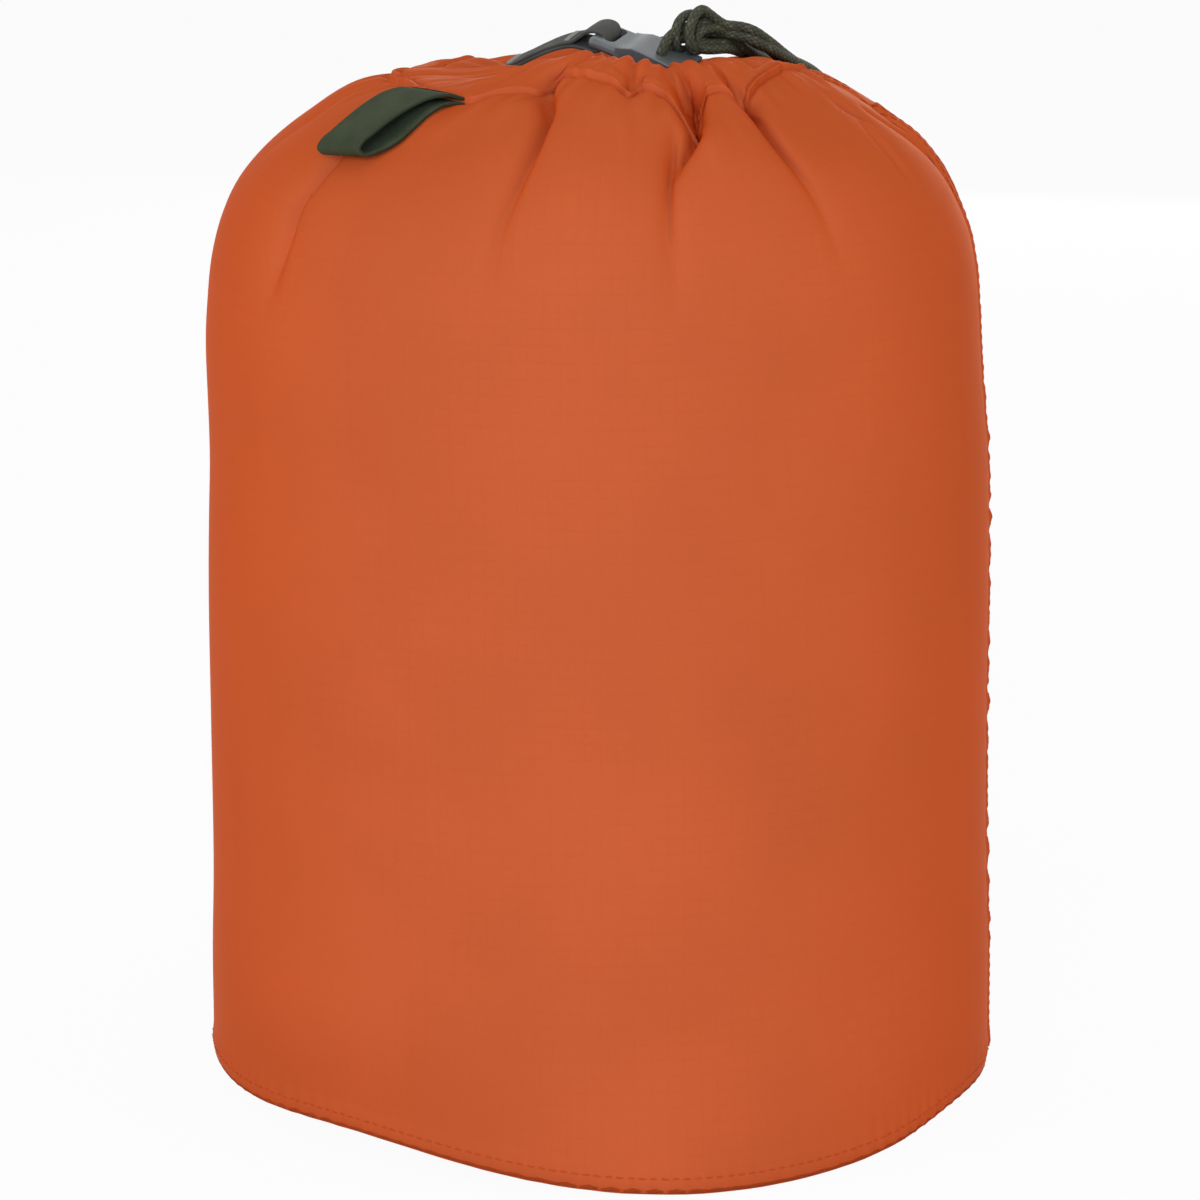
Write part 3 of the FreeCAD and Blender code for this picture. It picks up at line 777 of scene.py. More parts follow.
# Outline of the filled sack from the base seam to the inside of the neck: radius, height, and how
# far the circle has moved over to the leaning neck (0 to 1).
OUTLINE = ((126.6, 0.1, 0), (128.8, 0.4, 0), (129.7, 2.8, 0), (129.6, 12, 0), (129.2, 39, 0), (128.2, 67, 0),
           (127.4, 120, 0), (126.9, 170, 0), (124.9, 228, 0), (123.7, 256, 0), (121.9, 272, 0),
           (118.4, 285, 0), (113.2, 296, 0), (107, 304.2, 0), (100, 310.8, 0), (91, 317, 0),
           (82, 321.8, 0.02), (73, 325.4, 0.08), (63, 328.4, 0.3), (52, 331.3, 0.6), (42, 333.4, 0.88),
           (36, 334.0, 1), (31.5, 333.5, 1), (28.2, 331.4, 1), (26.8, 328.3, 1), (27.4, 324.5, 1),
           (31, 321.6, 1), (40, 319.6, 0.95))
HEM_INDEX = 17             # point of the outline that is the hem circle
NECK_SHIFT = 12.5
SIDE_LEAN = -2.3           # how far the upper half hangs over to the left
FULLNESS = 0.45            # how far the load bulges the wall unevenly
NECK_LEAN = math.tan(math.radians(6.0))
RIM_ARC = 44.0             # from the hem to the top of the rolled edge
SEAM_ANGLE = -2.0          # where the side seam runs
CLOTH_RADIUS = 127.0       # of the tube that the panel is sewn into

# Stitch line of the channel: angle, and how far inside the hem circle it lies.
SEAM_LINE = ((-180, 5), (-160, 6), (-146, 3.5), (-141, 2), (-124, 2), (-120, 8), (-116.6, 11), (-112.3, 12.4),
             (-110.5, 22.5), (-101.7, 19.6), (-93.5, 16.9), (-89, 14), (-84.9, 8.2), (-83.0, 15.2),
             (-79.3, 13.7), (-75.5, 10.6), (-72, 2.9), (-69, -7), (-66, -2), (-62.5, 11.3), (-58, 12.2),
             (-54.5, 8.6), (-51.8, 2.2), (-48.5, 8.6), (-43, 13.4), (-36, 16.7), (-26, 18.5), (-15, 13.6),
             (0, 8), (14, 12), (24, 3), (29, 11), (45, 13), (58, 4), (64, 12), (82, 9), (97, 3), (102, 12),
             (120, 10), (131, 2), (137, 11), (155, 9), (168, 2), (172, 9), (180, 5))

# How far the gathered edge stands over its level plane.
RIM_RISE = ((-180, -4.5), (-160, -5.9), (-142, -4.0), (-128, -1.4), (-120, 0.6), (-116, 1.0), (-111, -0.8),
            (-101, -1.1), (-88, -1.8), (-78.5, -3.6), (-74, -2.5), (-68, -1.8), (-61, -2.4), (-54, -1.5),
            (-37, -2.1), (-20, -2.6), (0, -2.6), (40, -2.0), (100, -1.5), (110, 0.4), (119, 1.6), (126, -0.5),
            (134, -5.0), (147, -5.6), (156, -5.4), (166, -5.0), (180, -4.5))

# Pleats: along each one, distance inside the hem circle, angle, depth and half width.
PLEATS = {
    "left": ((38, -119, 0.4, 2.0), (22, -115.6, 3.4, 2.6), (10, -109.5, 6.4, 2.4), (1, -104.5, 7.0, 1.8),
             (-11, -103.3, 5.2, 1.8), (-24, -103.5, 4.0, 2.2), (-42, -104.1, 2.6, 2.6),
             (-58, -104.7, 1.5, 3.2), (-72, -105, 0.5, 5.0), (-84, -105, 0, 6.0)),
    "tuck": ((32, -92, 1.0, 1.8), (22, -88.5, 3.2, 2.4), (14, -85.5, 4.2, 2.2), (8, -84, 1.2, 1.5),
             (1, -84, 0, 1.5)),
    "arm": ((36, -80, 0.6, 1.2), (27, -75.5, 2.2, 1.2), (18, -70.8, 3.2, 1.2), (9, -68.2, 2.0, 1.0),
            (3, -67.6, 0, 1.0)),
    "main": ((40, -75, 0.6, 1.5), (27, -71.3, 3.2, 1.6), (17, -68.2, 6.5, 2.0), (6, -67.4, 9.5, 2.4),
             (-3, -68.1, 9.5, 2.3), (-12, -70.7, 8.0, 1.9), (-19, -73.3, 5.5, 1.6), (-26, -75.6, 1.8, 1.4),
             (-33, -76.8, 0, 1.4)),
    "below": ((-1, -73.5, 0, 3.0), (-8, -74.3, 1.5, 2.2), (-24, -77.1, 4.2, 1.8), (-37, -78.5, 3.6, 1.9),
              (-50, -78.8, 2.6, 2.4), (-64, -78.3, 1.4, 3.2), (-80, -78, 0, 5.0)),
    "right": ((40, -56.5, 1.2, 1.5), (30, -55.7, 2.6, 1.6), (20, -54.3, 3.6, 1.6), (10, -53.3, 4.8, 1.8),
              (2, -51.8, 6.5, 2.0), (-6, -53, 5.8, 1.8), (-19, -53.8, 4.4, 1.7), (-31, -53.4, 3.2, 2.0),
              (-43, -52.3, 2.1, 2.6), (-57, -51.5, 1.0, 3.6), (-70, -51, 0, 5.0)),
    "nick": ((-2, -24.5, 0, 1.5), (-8, -23.9, 2.8, 1.6), (-13, -23.2, 4.4, 1.8), (-18, -22.8, 1.6, 1.6),
             (-24, -23, 0, 1.6)),
    "under_nick": ((-15, -26, 0, 2.5), (-23, -26.9, 1.8, 2.0), (-36, -27.5, 1.5, 2.4), (-50, -27.5, 0, 4.0)),
    "far_right": ((-11, -16, 0, 2.0), (-21, -13.3, 3.0, 1.8), (-30, -10, 3.6, 2.0), (-38, -7, 2.8, 2.4),
                  (-52, -4, 1.5, 3.2), (-68, -3, 0, 5.0)),
    "edge": ((0, 4, 0, 2.0), (-10, 0, 2.0, 2.0), (-19, -4, 2.0, 2.0), (-29, -6.5, 0, 2.0)),
    "far_left": ((-16, -143, 0, 1.5), (-30, -143.2, 2.6, 1.3), (-41, -143.6, 5.2, 1.5),
                 (-47, -144.4, 6.0, 1.7), (-56, -143.8, 5.0, 2.2), (-68, -144, 3.0, 3.6),
                 (-84, -144, 0, 6.0)),
}
DEEP_PLEATS = ("left", "main", "right")        # the columns of faces crowd together at these
# Pleats away from the scallops: angle and depth.
BACK_PLEATS = ((24, 6.0), (58, 7.5), (80, 3.2), (97, 6.5), (131, 7.0), (168, 6.0), (-172, 3.0))
DEEP_BACK = 5              # the depth from which one of them counts as deep

# Base seam: how far it is raised off the floor and drawn in towards the middle, each as a few
# swellings with their size, their angle and their width.
BASE_LIFT = ((7.8, -127, 32.0), (2.6, -172, 16.0), (2.4, -24, 16.0), (2.5, 95, 32.0))
BASE_PULL = ((6.0, -132, 27.0), (1.6, -31, 13.0), (-5.4, -76, 24.0), (2.5, 95, 30.0))


def back_pleat(angle, depth, draw):
    """Pleat on the side away from the scallops, shaped by a few random draws."""
    bend = draw.uniform(-5, 5)
    reach = 34 + depth * draw.uniform(3.2, 4.8)
    wide = draw.uniform(1.6, 2.3)
    return ((38, angle - bend * 0.6, 0.8, wide), (20, angle - bend * 0.3, depth * 0.5, wide),
            (6, angle, depth, wide), (-6, angle + bend * 0.3, depth * 0.8, wide),
            (-reach * 0.45, angle + bend * 0.8, depth * 0.4, wide + 0.6),
            (-reach * 0.8, angle + bend, depth * 0.12, wide + 2.5), (-reach, angle + bend, 0, wide + 3.5))


def all_pleats():
    """Every pleat: whether it is a deep one, and its stations from the lowest up."""
    draw = random.Random(7)
    paths = [(name in DEEP_PLEATS, path) for name, path in PLEATS.items()]
    paths += [(depth > DEEP_BACK, back_pleat(angle, depth, draw)) for angle, depth in BACK_PLEATS]
    return [(deep, np.array(sorted(path))) for deep, path in paths]


def outline():
    """Finely sampled outline: arc length from the hem, radius, height and shift."""
    pts = np.array(OUTLINE, float)
    chord = run_along(pts[:, :2])
    chord -= chord[HEM_INDEX]
    fine = np.linspace(chord[0], chord[-1], 1600)
    radius, height, shift = (through(chord, pts[:, k], fine) for k in range(3))
    arc = np.concatenate([[0], np.cumsum(np.hypot(np.diff(radius), np.diff(height)))])
    return arc - np.interp(0, fine, arc), radius, height, np.clip(shift, 0, 1)


def sack_rows(lowest, highest):
    """Where the rows of faces lie: close together at the base seam, the pleats and the stitch line."""
    spans = ((lowest, lowest + 14, 9), (lowest + 14, -88, 66), (-88, -40, 24), (-40, -5, 24), (-5, 0, 7),
             (0, 4, 8), (4, 20, 14), (20, RIM_ARC, 17), (RIM_ARC, highest, 18))
    rows = [np.linspace(a, b, n, endpoint=False) for a, b, n in spans]
    return np.concatenate(rows + [[highest]])


def angle_gap(a, b):
    return (a - b + 180.0) % 360.0 - 180.0


def round_value(table, angle):
    """Value read off a table of angles and values that goes once round."""
    knots = np.array(table, float)
    return np.interp((angle + 180) % 360 - 180, knots[:, 0], knots[:, 1])


def swellings(table, angle):
    return sum(size * bell(angle_gap(angle, place), width) for size, place, width in table)


def wobble(angle, height, seed, waves, turns, tall):
    """Smooth unevenness: waves that go round a number of times within turns, the same for one seed."""
    draw = random.Random(seed)
    total = np.zeros(np.broadcast(angle, height).shape)
    for _ in range(waves):
        count = draw.randint(*turns)
        total += draw.uniform(0.4, 1.0) * np.cos(
            np.radians(angle) * count + height / tall * draw.uniform(-2.5, 2.5) + draw.uniform(0, 6.28))
    return total / math.sqrt(waves)


def gathered_angles(start, row, pleats):
    """Angle of each point: the columns crowd together where a deep pleat takes up the cloth."""
    angle = np.broadcast_to(start[None, :], (len(row), len(start))).copy()
    crowding = smoothstep(-92, -4, row) * 0.5
    for deep, stations in pleats:
        if deep:
            gap = angle_gap(start[None, :], through(stations[:, 0], stations[:, 1], row))
            angle -= crowding * gap * bell(gap, 11.0)
    return angle


def filled_sack(angle, arc, row, shape):
    """Points of the filled sack without its pleats and seams, and their distance from its middle."""
    radius, height, shift = (np.interp(arc, shape[0], values) for values in shape[1:])
    low = 1 - smoothstep(0, 52, height)
    radius = radius - swellings(BASE_PULL, angle) * low
    height = height + swellings(BASE_LIFT, angle) * low * (1 - smoothstep(0, 50, height))
    full = smoothstep(20, 90, height) * (1 - smoothstep(262, 300, height))
    leaning = SIDE_LEAN * smoothstep(200, 250, height) * (1 - smoothstep(290, 320, height))
    radius = radius + FULLNESS * full * wobble(angle, height, seed=3, waves=6, turns=(2, 7), tall=90.0)
    turn = np.radians(angle)
    x = NECK_SHIFT * shift + leaning + radius * np.cos(turn)
    y = radius * np.sin(turn)
    z = height - NECK_LEAN * y * shift + round_value(RIM_RISE, angle) * smoothstep(2, 30, row)
    return np.stack([x, y, z], axis=2), radius


def pleat_relief(pleats, angle, arc, radius):
    """How far the pleats draw the cloth in, and how far they push it over to one side."""
    depth, lean = np.zeros(arc.shape), np.zeros(arc.shape)
    for deep, stations in pleats:
        at = stations[:, 0]
        centre, deepness, wide = (through(at, stations[:, k], arc) for k in (1, 2, 3))
        deepness = np.clip(deepness, 0, None) * ((arc > at[0]) & (arc < at[-1]))
        if at[-1] > 30:
            over_rim = stations[-1, 2] * (1 - smoothstep(RIM_ARC, RIM_ARC + 14, arc))
            deepness = np.where(arc >= at[-1], over_rim, deepness)
        wide = np.clip(wide, 0.8, None)
        across = np.radians(angle_gap(angle, centre)) * radius
        crease = deepness * np.exp(-np.abs(across / wide) ** 1.25)
        depth += crease + 0.25 * deepness * bell(across, wide * 3.2 + 2.0)
        lean += crease * (0.5 if deep else 0.4)
    return depth, lean


def channel_relief(angle, arc, seam):
    """The channel's sewn edge, the ruffles above and below it, and the swell of the cord inside."""
    on_channel = smoothstep(-0.7, 0.5, seam) * (1 - smoothstep(RIM_ARC - 6, RIM_ARC + 6, arc))
    edge = 0.85 * on_channel + 0.75 * bell(seam - 0.7, 0.8)
    edge -= 0.55 * bell(seam - 2.4, 0.8) + 1.0 * bell(seam + 1.0, 1.1)
    ruffle = 0.75 * wobble(angle, arc, seed=11, waves=9, turns=(18, 52), tall=30.0)
    ruffle *= smoothstep(2, 16, seam) * (1 - 0.4 * smoothstep(RIM_ARC, RIM_ARC + 20, arc))
    ruffle += 0.5 * wobble(angle, arc, seed=31, waves=8, turns=(26, 64), tall=26.0) * bell(seam + 6, 9.0)
    swell = 1.5 * bell(seam + 11, 12.0) + 1.0 * bell(arc - 30, 9.0)
    ease = 0.9 * wobble(angle, arc, seed=23, waves=7, turns=(5, 13), tall=60.0)
    return edge + ruffle + swell + ease * smoothstep(-75, -10, arc) * (1 - smoothstep(30, 44, arc))


def seam_puckers(angle, rise, radius):
    """Small puckers beside the side seam, and those that the base seam draws in the cloth."""
    from_seam = np.radians(angle_gap(angle, SEAM_ANGLE)) * radius
    side = np.sin(rise * 0.62 + 1.3 * np.sin(rise * 0.13)) * (0.5 + 0.5 * np.sin(rise * 0.047 + 2.0) ** 2)
    side *= 0.55 * bell(from_seam, 7.0) * smoothstep(32, 56, rise) * (1 - 0.85 * smoothstep(205, 250, rise))
    turn = np.radians(angle)
    base = np.sin(turn * 118 + 2.0 * np.sin(turn * 9)) * (0.35 + 0.65 * np.sin(turn * 3.5 + 0.7) ** 2)
    return side + base * 0.32 * (1 - smoothstep(3, 22, rise)) * smoothstep(0.5, 4, rise)


def grid_normals(grid):
    """Normals of a grid of points that closes on itself, and the directions round it."""
    around = np.roll(grid, -1, axis=1) - np.roll(grid, 1, axis=1)
    return unit(np.cross(around, np.gradient(grid, axis=0))), unit(around)


@functools.lru_cache(maxsize=1)
def sack_surface(cols):
    """Points of the gathered sack in metres, their normals, their cloth coordinates and their rows."""
    shape = outline()
    rows = sack_rows(shape[0][0], shape[0][-1])
    row = rows[:, None]
    pleats = all_pleats()
    angle = gathered_angles(-180.0 + np.arange(cols) * 360.0 / cols, row, pleats)
    offset = round_value(SEAM_LINE, angle)
    keep = np.where(row < 0, smoothstep(-62, 0, row), 1 - smoothstep(0, 30, row))
    arc = row + offset * keep

    points, radius = filled_sack(angle, arc, row, shape)
    normal, around = grid_normals(points)
    depth, lean = pleat_relief(pleats, angle, arc, radius)
    out = channel_relief(angle, arc, arc - offset) + seam_puckers(angle, arc - rows[0], radius) - depth
    points = points + normal * out[..., None] + around * lean[..., None]

    cloth = np.zeros((len(rows), cols + 1, 2))
    cloth[..., 0] = np.arange(cols + 1)[None, :] * (2 * math.pi * CLOTH_RADIUS * MM / cols)
    cloth[..., 1] = (row - rows[0]) * MM
    return points * MM, grid_normals(points)[0], cloth, rows


def surface():
    """The sack's surface, worked out once and shared by the pieces that lie on it."""
    return sack_surface(sizes().columns)


class STUFFSACK_OT_cloth(bpy.types.Operator):
    """Cloth of the sack: one panel for the wall, the gathered shoulder and the drawcord channel"""

    bl_idname = "stuff_sack.cloth"
    bl_label = "Sack cloth"

    def execute(self, context):
        points, _, cloth, _ = surface()
        piece = sheet_mesh("sack_cloth", points, cloth)
        hand_over(piece, "shell_cloth", "sack", "wall_panel", "gathered_shoulder", "drawcord_channel")
        return {"FINISHED"}


# ---- Stitches and seams -----------------------------------------------------------------------

# A stitch along its length: share of the length from its middle, and share of its radius.
STITCH_PROFILE = ((-0.5, 0.35), (-0.38, 0.85), (-0.15, 1.0), (0.15, 1.0), (0.38, 0.85), (0.5, 0.35))
STITCH_SIDES = 6


def stitch_row(line, normal, length, gap, radius, sink=0.0):
    """Evenly spaced stitches along a line: centre, direction, side, way up, length and radius of each."""
    run = run_along(line)
    count = max(1, int(round(run[-1] / (length + gap))))
    pitch = run[-1] / count
    stitches = []
    for i in range(count):
        middle = (i + 0.5) * pitch
        start, centre, end = (read_at(middle + step, run, line) for step in (-length / 2, 0, length / 2))
        along = unit(end - start)
        up = unit(read_at(middle, run, normal))
        side = unit(np.cross(along, up))
        up = np.cross(side, along)
        stitches.append((centre - up * sink, along, side, up, length, radius))
    return stitches


def stitch_piece(name, stitches):
    """Stitches as one mesh, each a small spindle whose ends dip into the cloth."""
    last = len(STITCH_PROFILE) - 1
    ring = range(STITCH_SIDES)
    verts, faces = [], []
    for middle, along, side, up, length, radius in stitches:
        first = len(verts)
        for share, wide in STITCH_PROFILE:
            centre = middle + along * (share * length) + up * (radius * (0.7 - 1.1 * abs(share)))
            for turn in (2 * math.pi * k / STITCH_SIDES for k in ring):
                verts.append(tuple(centre + (side * math.cos(turn) + up * math.sin(turn)) * (radius * wide)))
        for r in range(last):
            row = first + r * STITCH_SIDES
            for a, b in ((row + k, row + (k + 1) % STITCH_SIDES) for k in ring):
                faces.append((a, b, b + STITCH_SIDES, a + STITCH_SIDES))
        faces.append(tuple(first + k for k in reversed(ring)))
        faces.append(tuple(first + last * STITCH_SIDES + k for k in ring))
    mesh = bpy.data.meshes.new(name)
    mesh.from_pydata(verts, [], faces)
    mesh.polygons.foreach_set("use_smooth", [True] * len(mesh.polygons))
    return link(name, mesh)


BASE_RINGS = (1.0, 0.985, 0.96, 0.92, 0.86, 0.76, 0.6, 0.4, 0.2, 0.04)      # shares of the base's radius
BINDING_RISE, BASE_STITCH_RISE = 3.0, 7.5     # millimetres along the cloth from its lowest row
CHANNEL_STITCH_RISE = 2.4                     # and from the hem circle


class STUFFSACK_OT_base(bpy.types.Operator):
    """Round base panel with the binding and stitches of the base seam"""

    bl_idname = "stuff_sack.base"
    bl_label = "Base"

    def execute(self, context):
        points, normal, _, rows = surface()
        edge = points[1]
        angle = np.degrees(np.arctan2(edge[:, 1], edge[:, 0]))
        centre = np.array((0.0, 0.0, 0.0012))
        rings = []
        for share in BASE_RINGS:
            ring = centre + (edge - centre) * share
            lift = (edge[:, 2] - 0.0016) * smoothstep(0.72, 1.0, share)
            sag = 0.25 * MM * (1 - share) * wobble(angle, 100.0 * share, seed=5, waves=5, turns=(2, 9),
                                                   tall=40.0)
            ring[:, 2] = 0.0009 + lift + np.abs(sag) + 0.0004 * smoothstep(0.9, 1.0, share)
            rings.append(ring[::3])
        grid = np.array(rings)
        uv = np.concatenate([grid, grid[:, :1]], axis=1)[..., :2]
        piece = sheet_mesh("base_cloth", grid[:, ::-1], uv[:, ::-1])
        apply_modifier(piece, "SOLIDIFY", thickness=0.0006, offset=-1)
        hand_over(piece, "shell_cloth", "sack", "base_panel")

        low = int(np.searchsorted(rows, rows[0] + BINDING_RISE))
        line = closed_line(points[low, ::2] - normal[low, ::2] * 0.9 * MM)
        tape = braided_tube("base_binding", line, 0.0022, sides=8, taper_ends=False)
        hand_over(tape, "seam_tape", "sack", "base_seam_tape")

        low = int(np.searchsorted(rows, rows[0] + BASE_STITCH_RISE))
        stitches = stitch_row(closed_line(points[low]), closed_line(normal[low]),
                              length=0.0024, gap=0.0011, radius=0.00026, sink=0.0001)
        hand_over(stitch_piece("base_stitches", stitches), "shell_thread", "sack", "base_stitching")
        return {"FINISHED"}


# Section of the felled side seam, from one side to the other: millimetres aside and out of the cloth.
FOLD_SECTION = ((-4.6, -0.35), (-4.2, 0.25), (-3.4, 0.62), (-2.2, 0.5), (-1.0, 0.72), (0.6, 0.78),
                (1.8, 0.5), (3.0, 0.66), (3.9, 0.3), (4.4, -0.4))
SIDE_STITCHES_ASIDE = (-2.2, 1.8)


class STUFFSACK_OT_side_seam(bpy.types.Operator):
    """Felled seam up the side, puckered by its two rows of stitches"""

    bl_idname = "stuff_sack.side_seam"
    bl_label = "Side seam"

    def execute(self, context):
        points, normal, _, rows = surface()
        column = int(round((SEAM_ANGLE + 180.0) / 360.0 * points.shape[1]))
        used = np.where((rows - rows[0] > 6) & (rows < -3))[0]
        fine = np.linspace(used[0], used[-1], 360)
        whole = np.arange(len(rows))
        middle, up = read_at(fine, whole, points[:, column]), unit(read_at(fine, whole, normal[:, column]))
        across = -unit(np.cross(np.gradient(middle, axis=0), up))
        run = run_along(middle)
        gather = np.sin(run * 760 + 1.6 * np.sin(run * 150)) * (0.5 + 0.5 * np.sin(run * 47 + 2.0) ** 2)
        gather = gather * smoothstep(0.026, 0.05, run) * (1 - 0.85 * smoothstep(0.2, 0.245, run))

        def beside(aside, high):
            lift = (high + 0.42 * gather * bell(aside, 3.2))[:, None] * MM
            return middle + across * aside * MM + up * lift

        grid = np.stack([beside(*corner) for corner in FOLD_SECTION], axis=1)
        uv = np.zeros((len(fine), len(FOLD_SECTION), 2))
        uv[..., 0] = np.array([aside for aside, _ in FOLD_SECTION])[None, :] * MM
        uv[..., 1] = run[:, None]
        piece = sheet_mesh("side_seam_fold", grid, uv, closed=False)
        hand_over(piece, "shell_cloth", "sack", "side_seam")

        stitches = []
        for aside in SIDE_STITCHES_ASIDE:
            stitches += stitch_row(beside(aside, 0.55), up, length=0.0024, gap=0.0009, radius=0.00024)
        hand_over(stitch_piece("side_stitches", stitches), "shell_thread", "sack", "side_stitching")
        return {"FINISHED"}


class STUFFSACK_OT_channel_stitches(bpy.types.Operator):
    """Stitches that close the drawcord channel, just above its lower edge"""

    bl_idname = "stuff_sack.channel_stitches"
    bl_label = "Channel stitches"

    def execute(self, context):
        points, normal, _, rows = surface()
        row = int(np.searchsorted(rows, CHANNEL_STITCH_RISE))
        stitches = stitch_row(closed_line(points[row]), closed_line(normal[row]),
                              length=0.0022, gap=0.0010, radius=0.00022)
        hand_over(stitch_piece("channel_stitches", stitches), "shell_thread", "sack", "channel_stitching")
        return {"FINISHED"}


# ---- Webbing ----------------------------------------------------------------------------------

STRAP_THICKNESS = 0.0011
WARP_RIBS = 9              # ribs across a strap
RIB_RELIEF = 0.04          # how far they stand out, as a share of half the thickness


def strap_section(half, thick):
    """Section of a strap with rounded selvedges, from half its width and half its thickness."""
    top = [(s * (half - thick * 0.6), thick * (1 + RIB_RELIEF * math.cos(s * math.pi * WARP_RIBS)))
           for s in np.linspace(-1, 1, 15)]
    selvedge = [(half - thick * 0.2, thick * 0.6), (half, 0.0), (half - thick * 0.2, -thick * 0.6)]
    return np.array(top + selvedge + [(x, -z) for x, z in reversed(top)] + [(-x, -z) for x, z in selvedge])


def ribbon(name, centres, sides, width):
    """Flat strap swept along a smooth line; also its line, sides, ways up and distances."""
    centres, sides = np.asarray(centres, float) * MM, unit(np.asarray(sides, float))
    chord = run_along(centres)
    at = np.linspace(0, chord[-1], int(chord[-1] / 0.0006))
    line, side = (np.stack([through(chord, values[:, k], at) for k in range(3)], axis=1)
                  for values in (centres, sides))
    side = unit(side)
    up = unit(np.cross(side, unit(np.gradient(line, axis=0))))
    run = run_along(line)
    section = strap_section(width / 2, STRAP_THICKNESS / 2)
    grid = line[:, None] + side[:, None] * section[None, :, :1] + up[:, None] * section[None, :, 1:]
    uv = np.zeros((len(at), len(section) + 1, 2))
    uv[..., 0] = closed_line(section)[None, :, 0]
    uv[..., 1] = run[:, None]
    return sheet_mesh(name, grid, uv, cap=True), line, side, up, run


def bartack(centre, along, across, out, length, width, threads, radius):
    """Dense row of threads across a strap."""
    stitches = []
    for i in range(threads):
        middle = np.asarray(centre) + along * (((i + 0.5) / threads - 0.5) * length)
        line = np.array([middle - across * width / 2, middle + across * width / 2])
        stitches += stitch_row(line, np.array([out, out]), width, 0.0, radius)
    return stitches


# The tether: along the lock from the middle of its bar and over it, in millimetres. It runs from its
# sewn end under the other ply to the bar, round the bar, and back on top.
TETHER_UNDER = ((-33.5, -11.2), (-27.5, -9.0), (-21.5, -6.1), (-16.5, -3.9), (-11.5, -2.3), (-8.0, -1.8),
                (-4.0, -2.45))
TETHER_BAR = ((0.2, -3.05), (2.3, -2.1), (3.05, 0.0), (2.2, 2.2), (0.0, 3.1))
TETHER_OVER = ((-3.0, 2.8), (-5.6, 1.3), (-8.2, -0.4), (-11.5, -1.1), (-16.5, -2.7), (-21.5, -4.9),
               (-27.5, -7.8), (-31.0, -9.3))
TETHER_TACKS = ((-10.4, -0.2), (-30.2, -8.3))
TETHER_ACROSS = Vector((0.43, 0.87, 0.22)).normalized()


class STUFFSACK_OT_tether(bpy.types.Operator):
    """Grey strap from the channel to the bar of the cord lock, with its two bartacks"""

    bl_idname = "stuff_sack.tether"
    bl_label = "Lock tether"

    def execute(self, context):
        heading = Matrix.Rotation(math.radians(LOCK_YAW), 3, "Z")

        def along(x, z):
            return LOCK_ORIGIN + heading @ Vector((x, 0.0, z))

        path = [along(*place) for place in TETHER_UNDER + TETHER_BAR + TETHER_OVER]
        piece = ribbon("tether_strap", path, [TETHER_ACROSS] * len(path), 0.012)[0]
        hand_over(piece, "tether_webbing", "sack", "tether_webbing")
        tacks = []
        for place in TETHER_TACKS:
            tacks += bartack(along(*place) * MM, heading @ Vector((1, 0, 0)), TETHER_ACROSS, UP,
                             length=0.0015, width=0.0095, threads=7, radius=0.00026)
        hand_over(stitch_piece("tether_tacks", tacks), "tether_thread", "sack", "tether_bartacks")
        return {"FINISHED"}


# Near edge of the grab loop from its sewn end, round the tip and back, and the way across to its far
# edge at the root and at the tip, in millimetres.
LOOP_EDGE = ((-33.0, -53.5, 324.0), (-39.0, -56.5, 326.6), (-45.9, -59.0, 328.8), (-51.0, -60.6, 328.2),
             (-57.9, -64.8, 325.6), (-63.7, -69.0, 322.2), (-68.2, -72.2, 319.0), (-71.2, -73.9, 316.6),
             (-72.3, -74.2, 314.4), (-71.0, -73.6, 312.9), (-66.0, -73.0, 313.9), (-60.6, -71.4, 316.6),
             (-56.0, -68.0, 320.2), (-51.7, -64.0, 323.6), (-47.3, -60.8, 325.9), (-43.0, -58.8, 326.2),
             (-39.0, -57.0, 325.2), (-33.0, -54.0, 322.6))
LOOP_ACROSS_ROOT = Vector((-16.0, 12.5, 1.5))
LOOP_ACROSS_TIP = Vector((-14.0, 14.5, -1.5))
LOOP_ROOT_X, LOOP_TIP_X = -33.0, -72.5
LOOP_TACK_RUN = 0.0115     # metres from the loop's first end to its bartack


class STUFFSACK_OT_grab_loop(bpy.types.Operator):
    """Dark green strap folded into an open drop, its two ends sewn into the channel seam"""

    bl_idname = "stuff_sack.grab_loop"
    bl_label = "Grab loop"

    def execute(self, context):
        shares = [float(smoothstep(LOOP_ROOT_X, LOOP_TIP_X, point[0])) for point in LOOP_EDGE]
        sides = [LOOP_ACROSS_ROOT.lerp(LOOP_ACROSS_TIP, share) for share in shares]
        centres = [Vector(point) + side / 2 for point, side in zip(LOOP_EDGE, sides)]
        piece, line, side, up, run = ribbon("grab_loop_strap", centres, sides, 0.020)
        hand_over(piece, "loop_webbing", "grab_loop", "loop_webbing")
        at = int(np.searchsorted(run, LOOP_TACK_RUN))
        tack = bartack(line[at] + up[at] * 0.0006, unit(line[at + 1] - line[at]), side[at], up[at],
                       length=0.0014, width=0.017, threads=6, radius=0.00022)
        hand_over(stitch_piece("loop_tack", tack), "loop_thread", "sack", "loop_bartack")
        return {"FINISHED"}


# ---- Cord lock --------------------------------------------------------------------------------

# In millimetres, along the lock from the middle of its bar, across it and through it
LOCK_WIDTH = 18.0
HOUSING_START, HOUSING_END, HOUSING_THICKNESS = 7.6, 31.0, 7.0
ROOT_HEIGHT, WEDGE_RISE, WEDGE_FALL = 1.9, 1.6, 0.95       # of the housing's top over its middle
SLOT_START, SLOT_END, SLOT_WIDTH = 1.9, 5.9, 9.4
SLOT_RADIUS = (SLOT_END - SLOT_START) / 2
CORD_HOLE_RADIUS = 1.7
SLOT_CUT, HOLE_CUT, WINDOW_CUT = 14.0, 16.0, 8.0           # lengths that cut right through


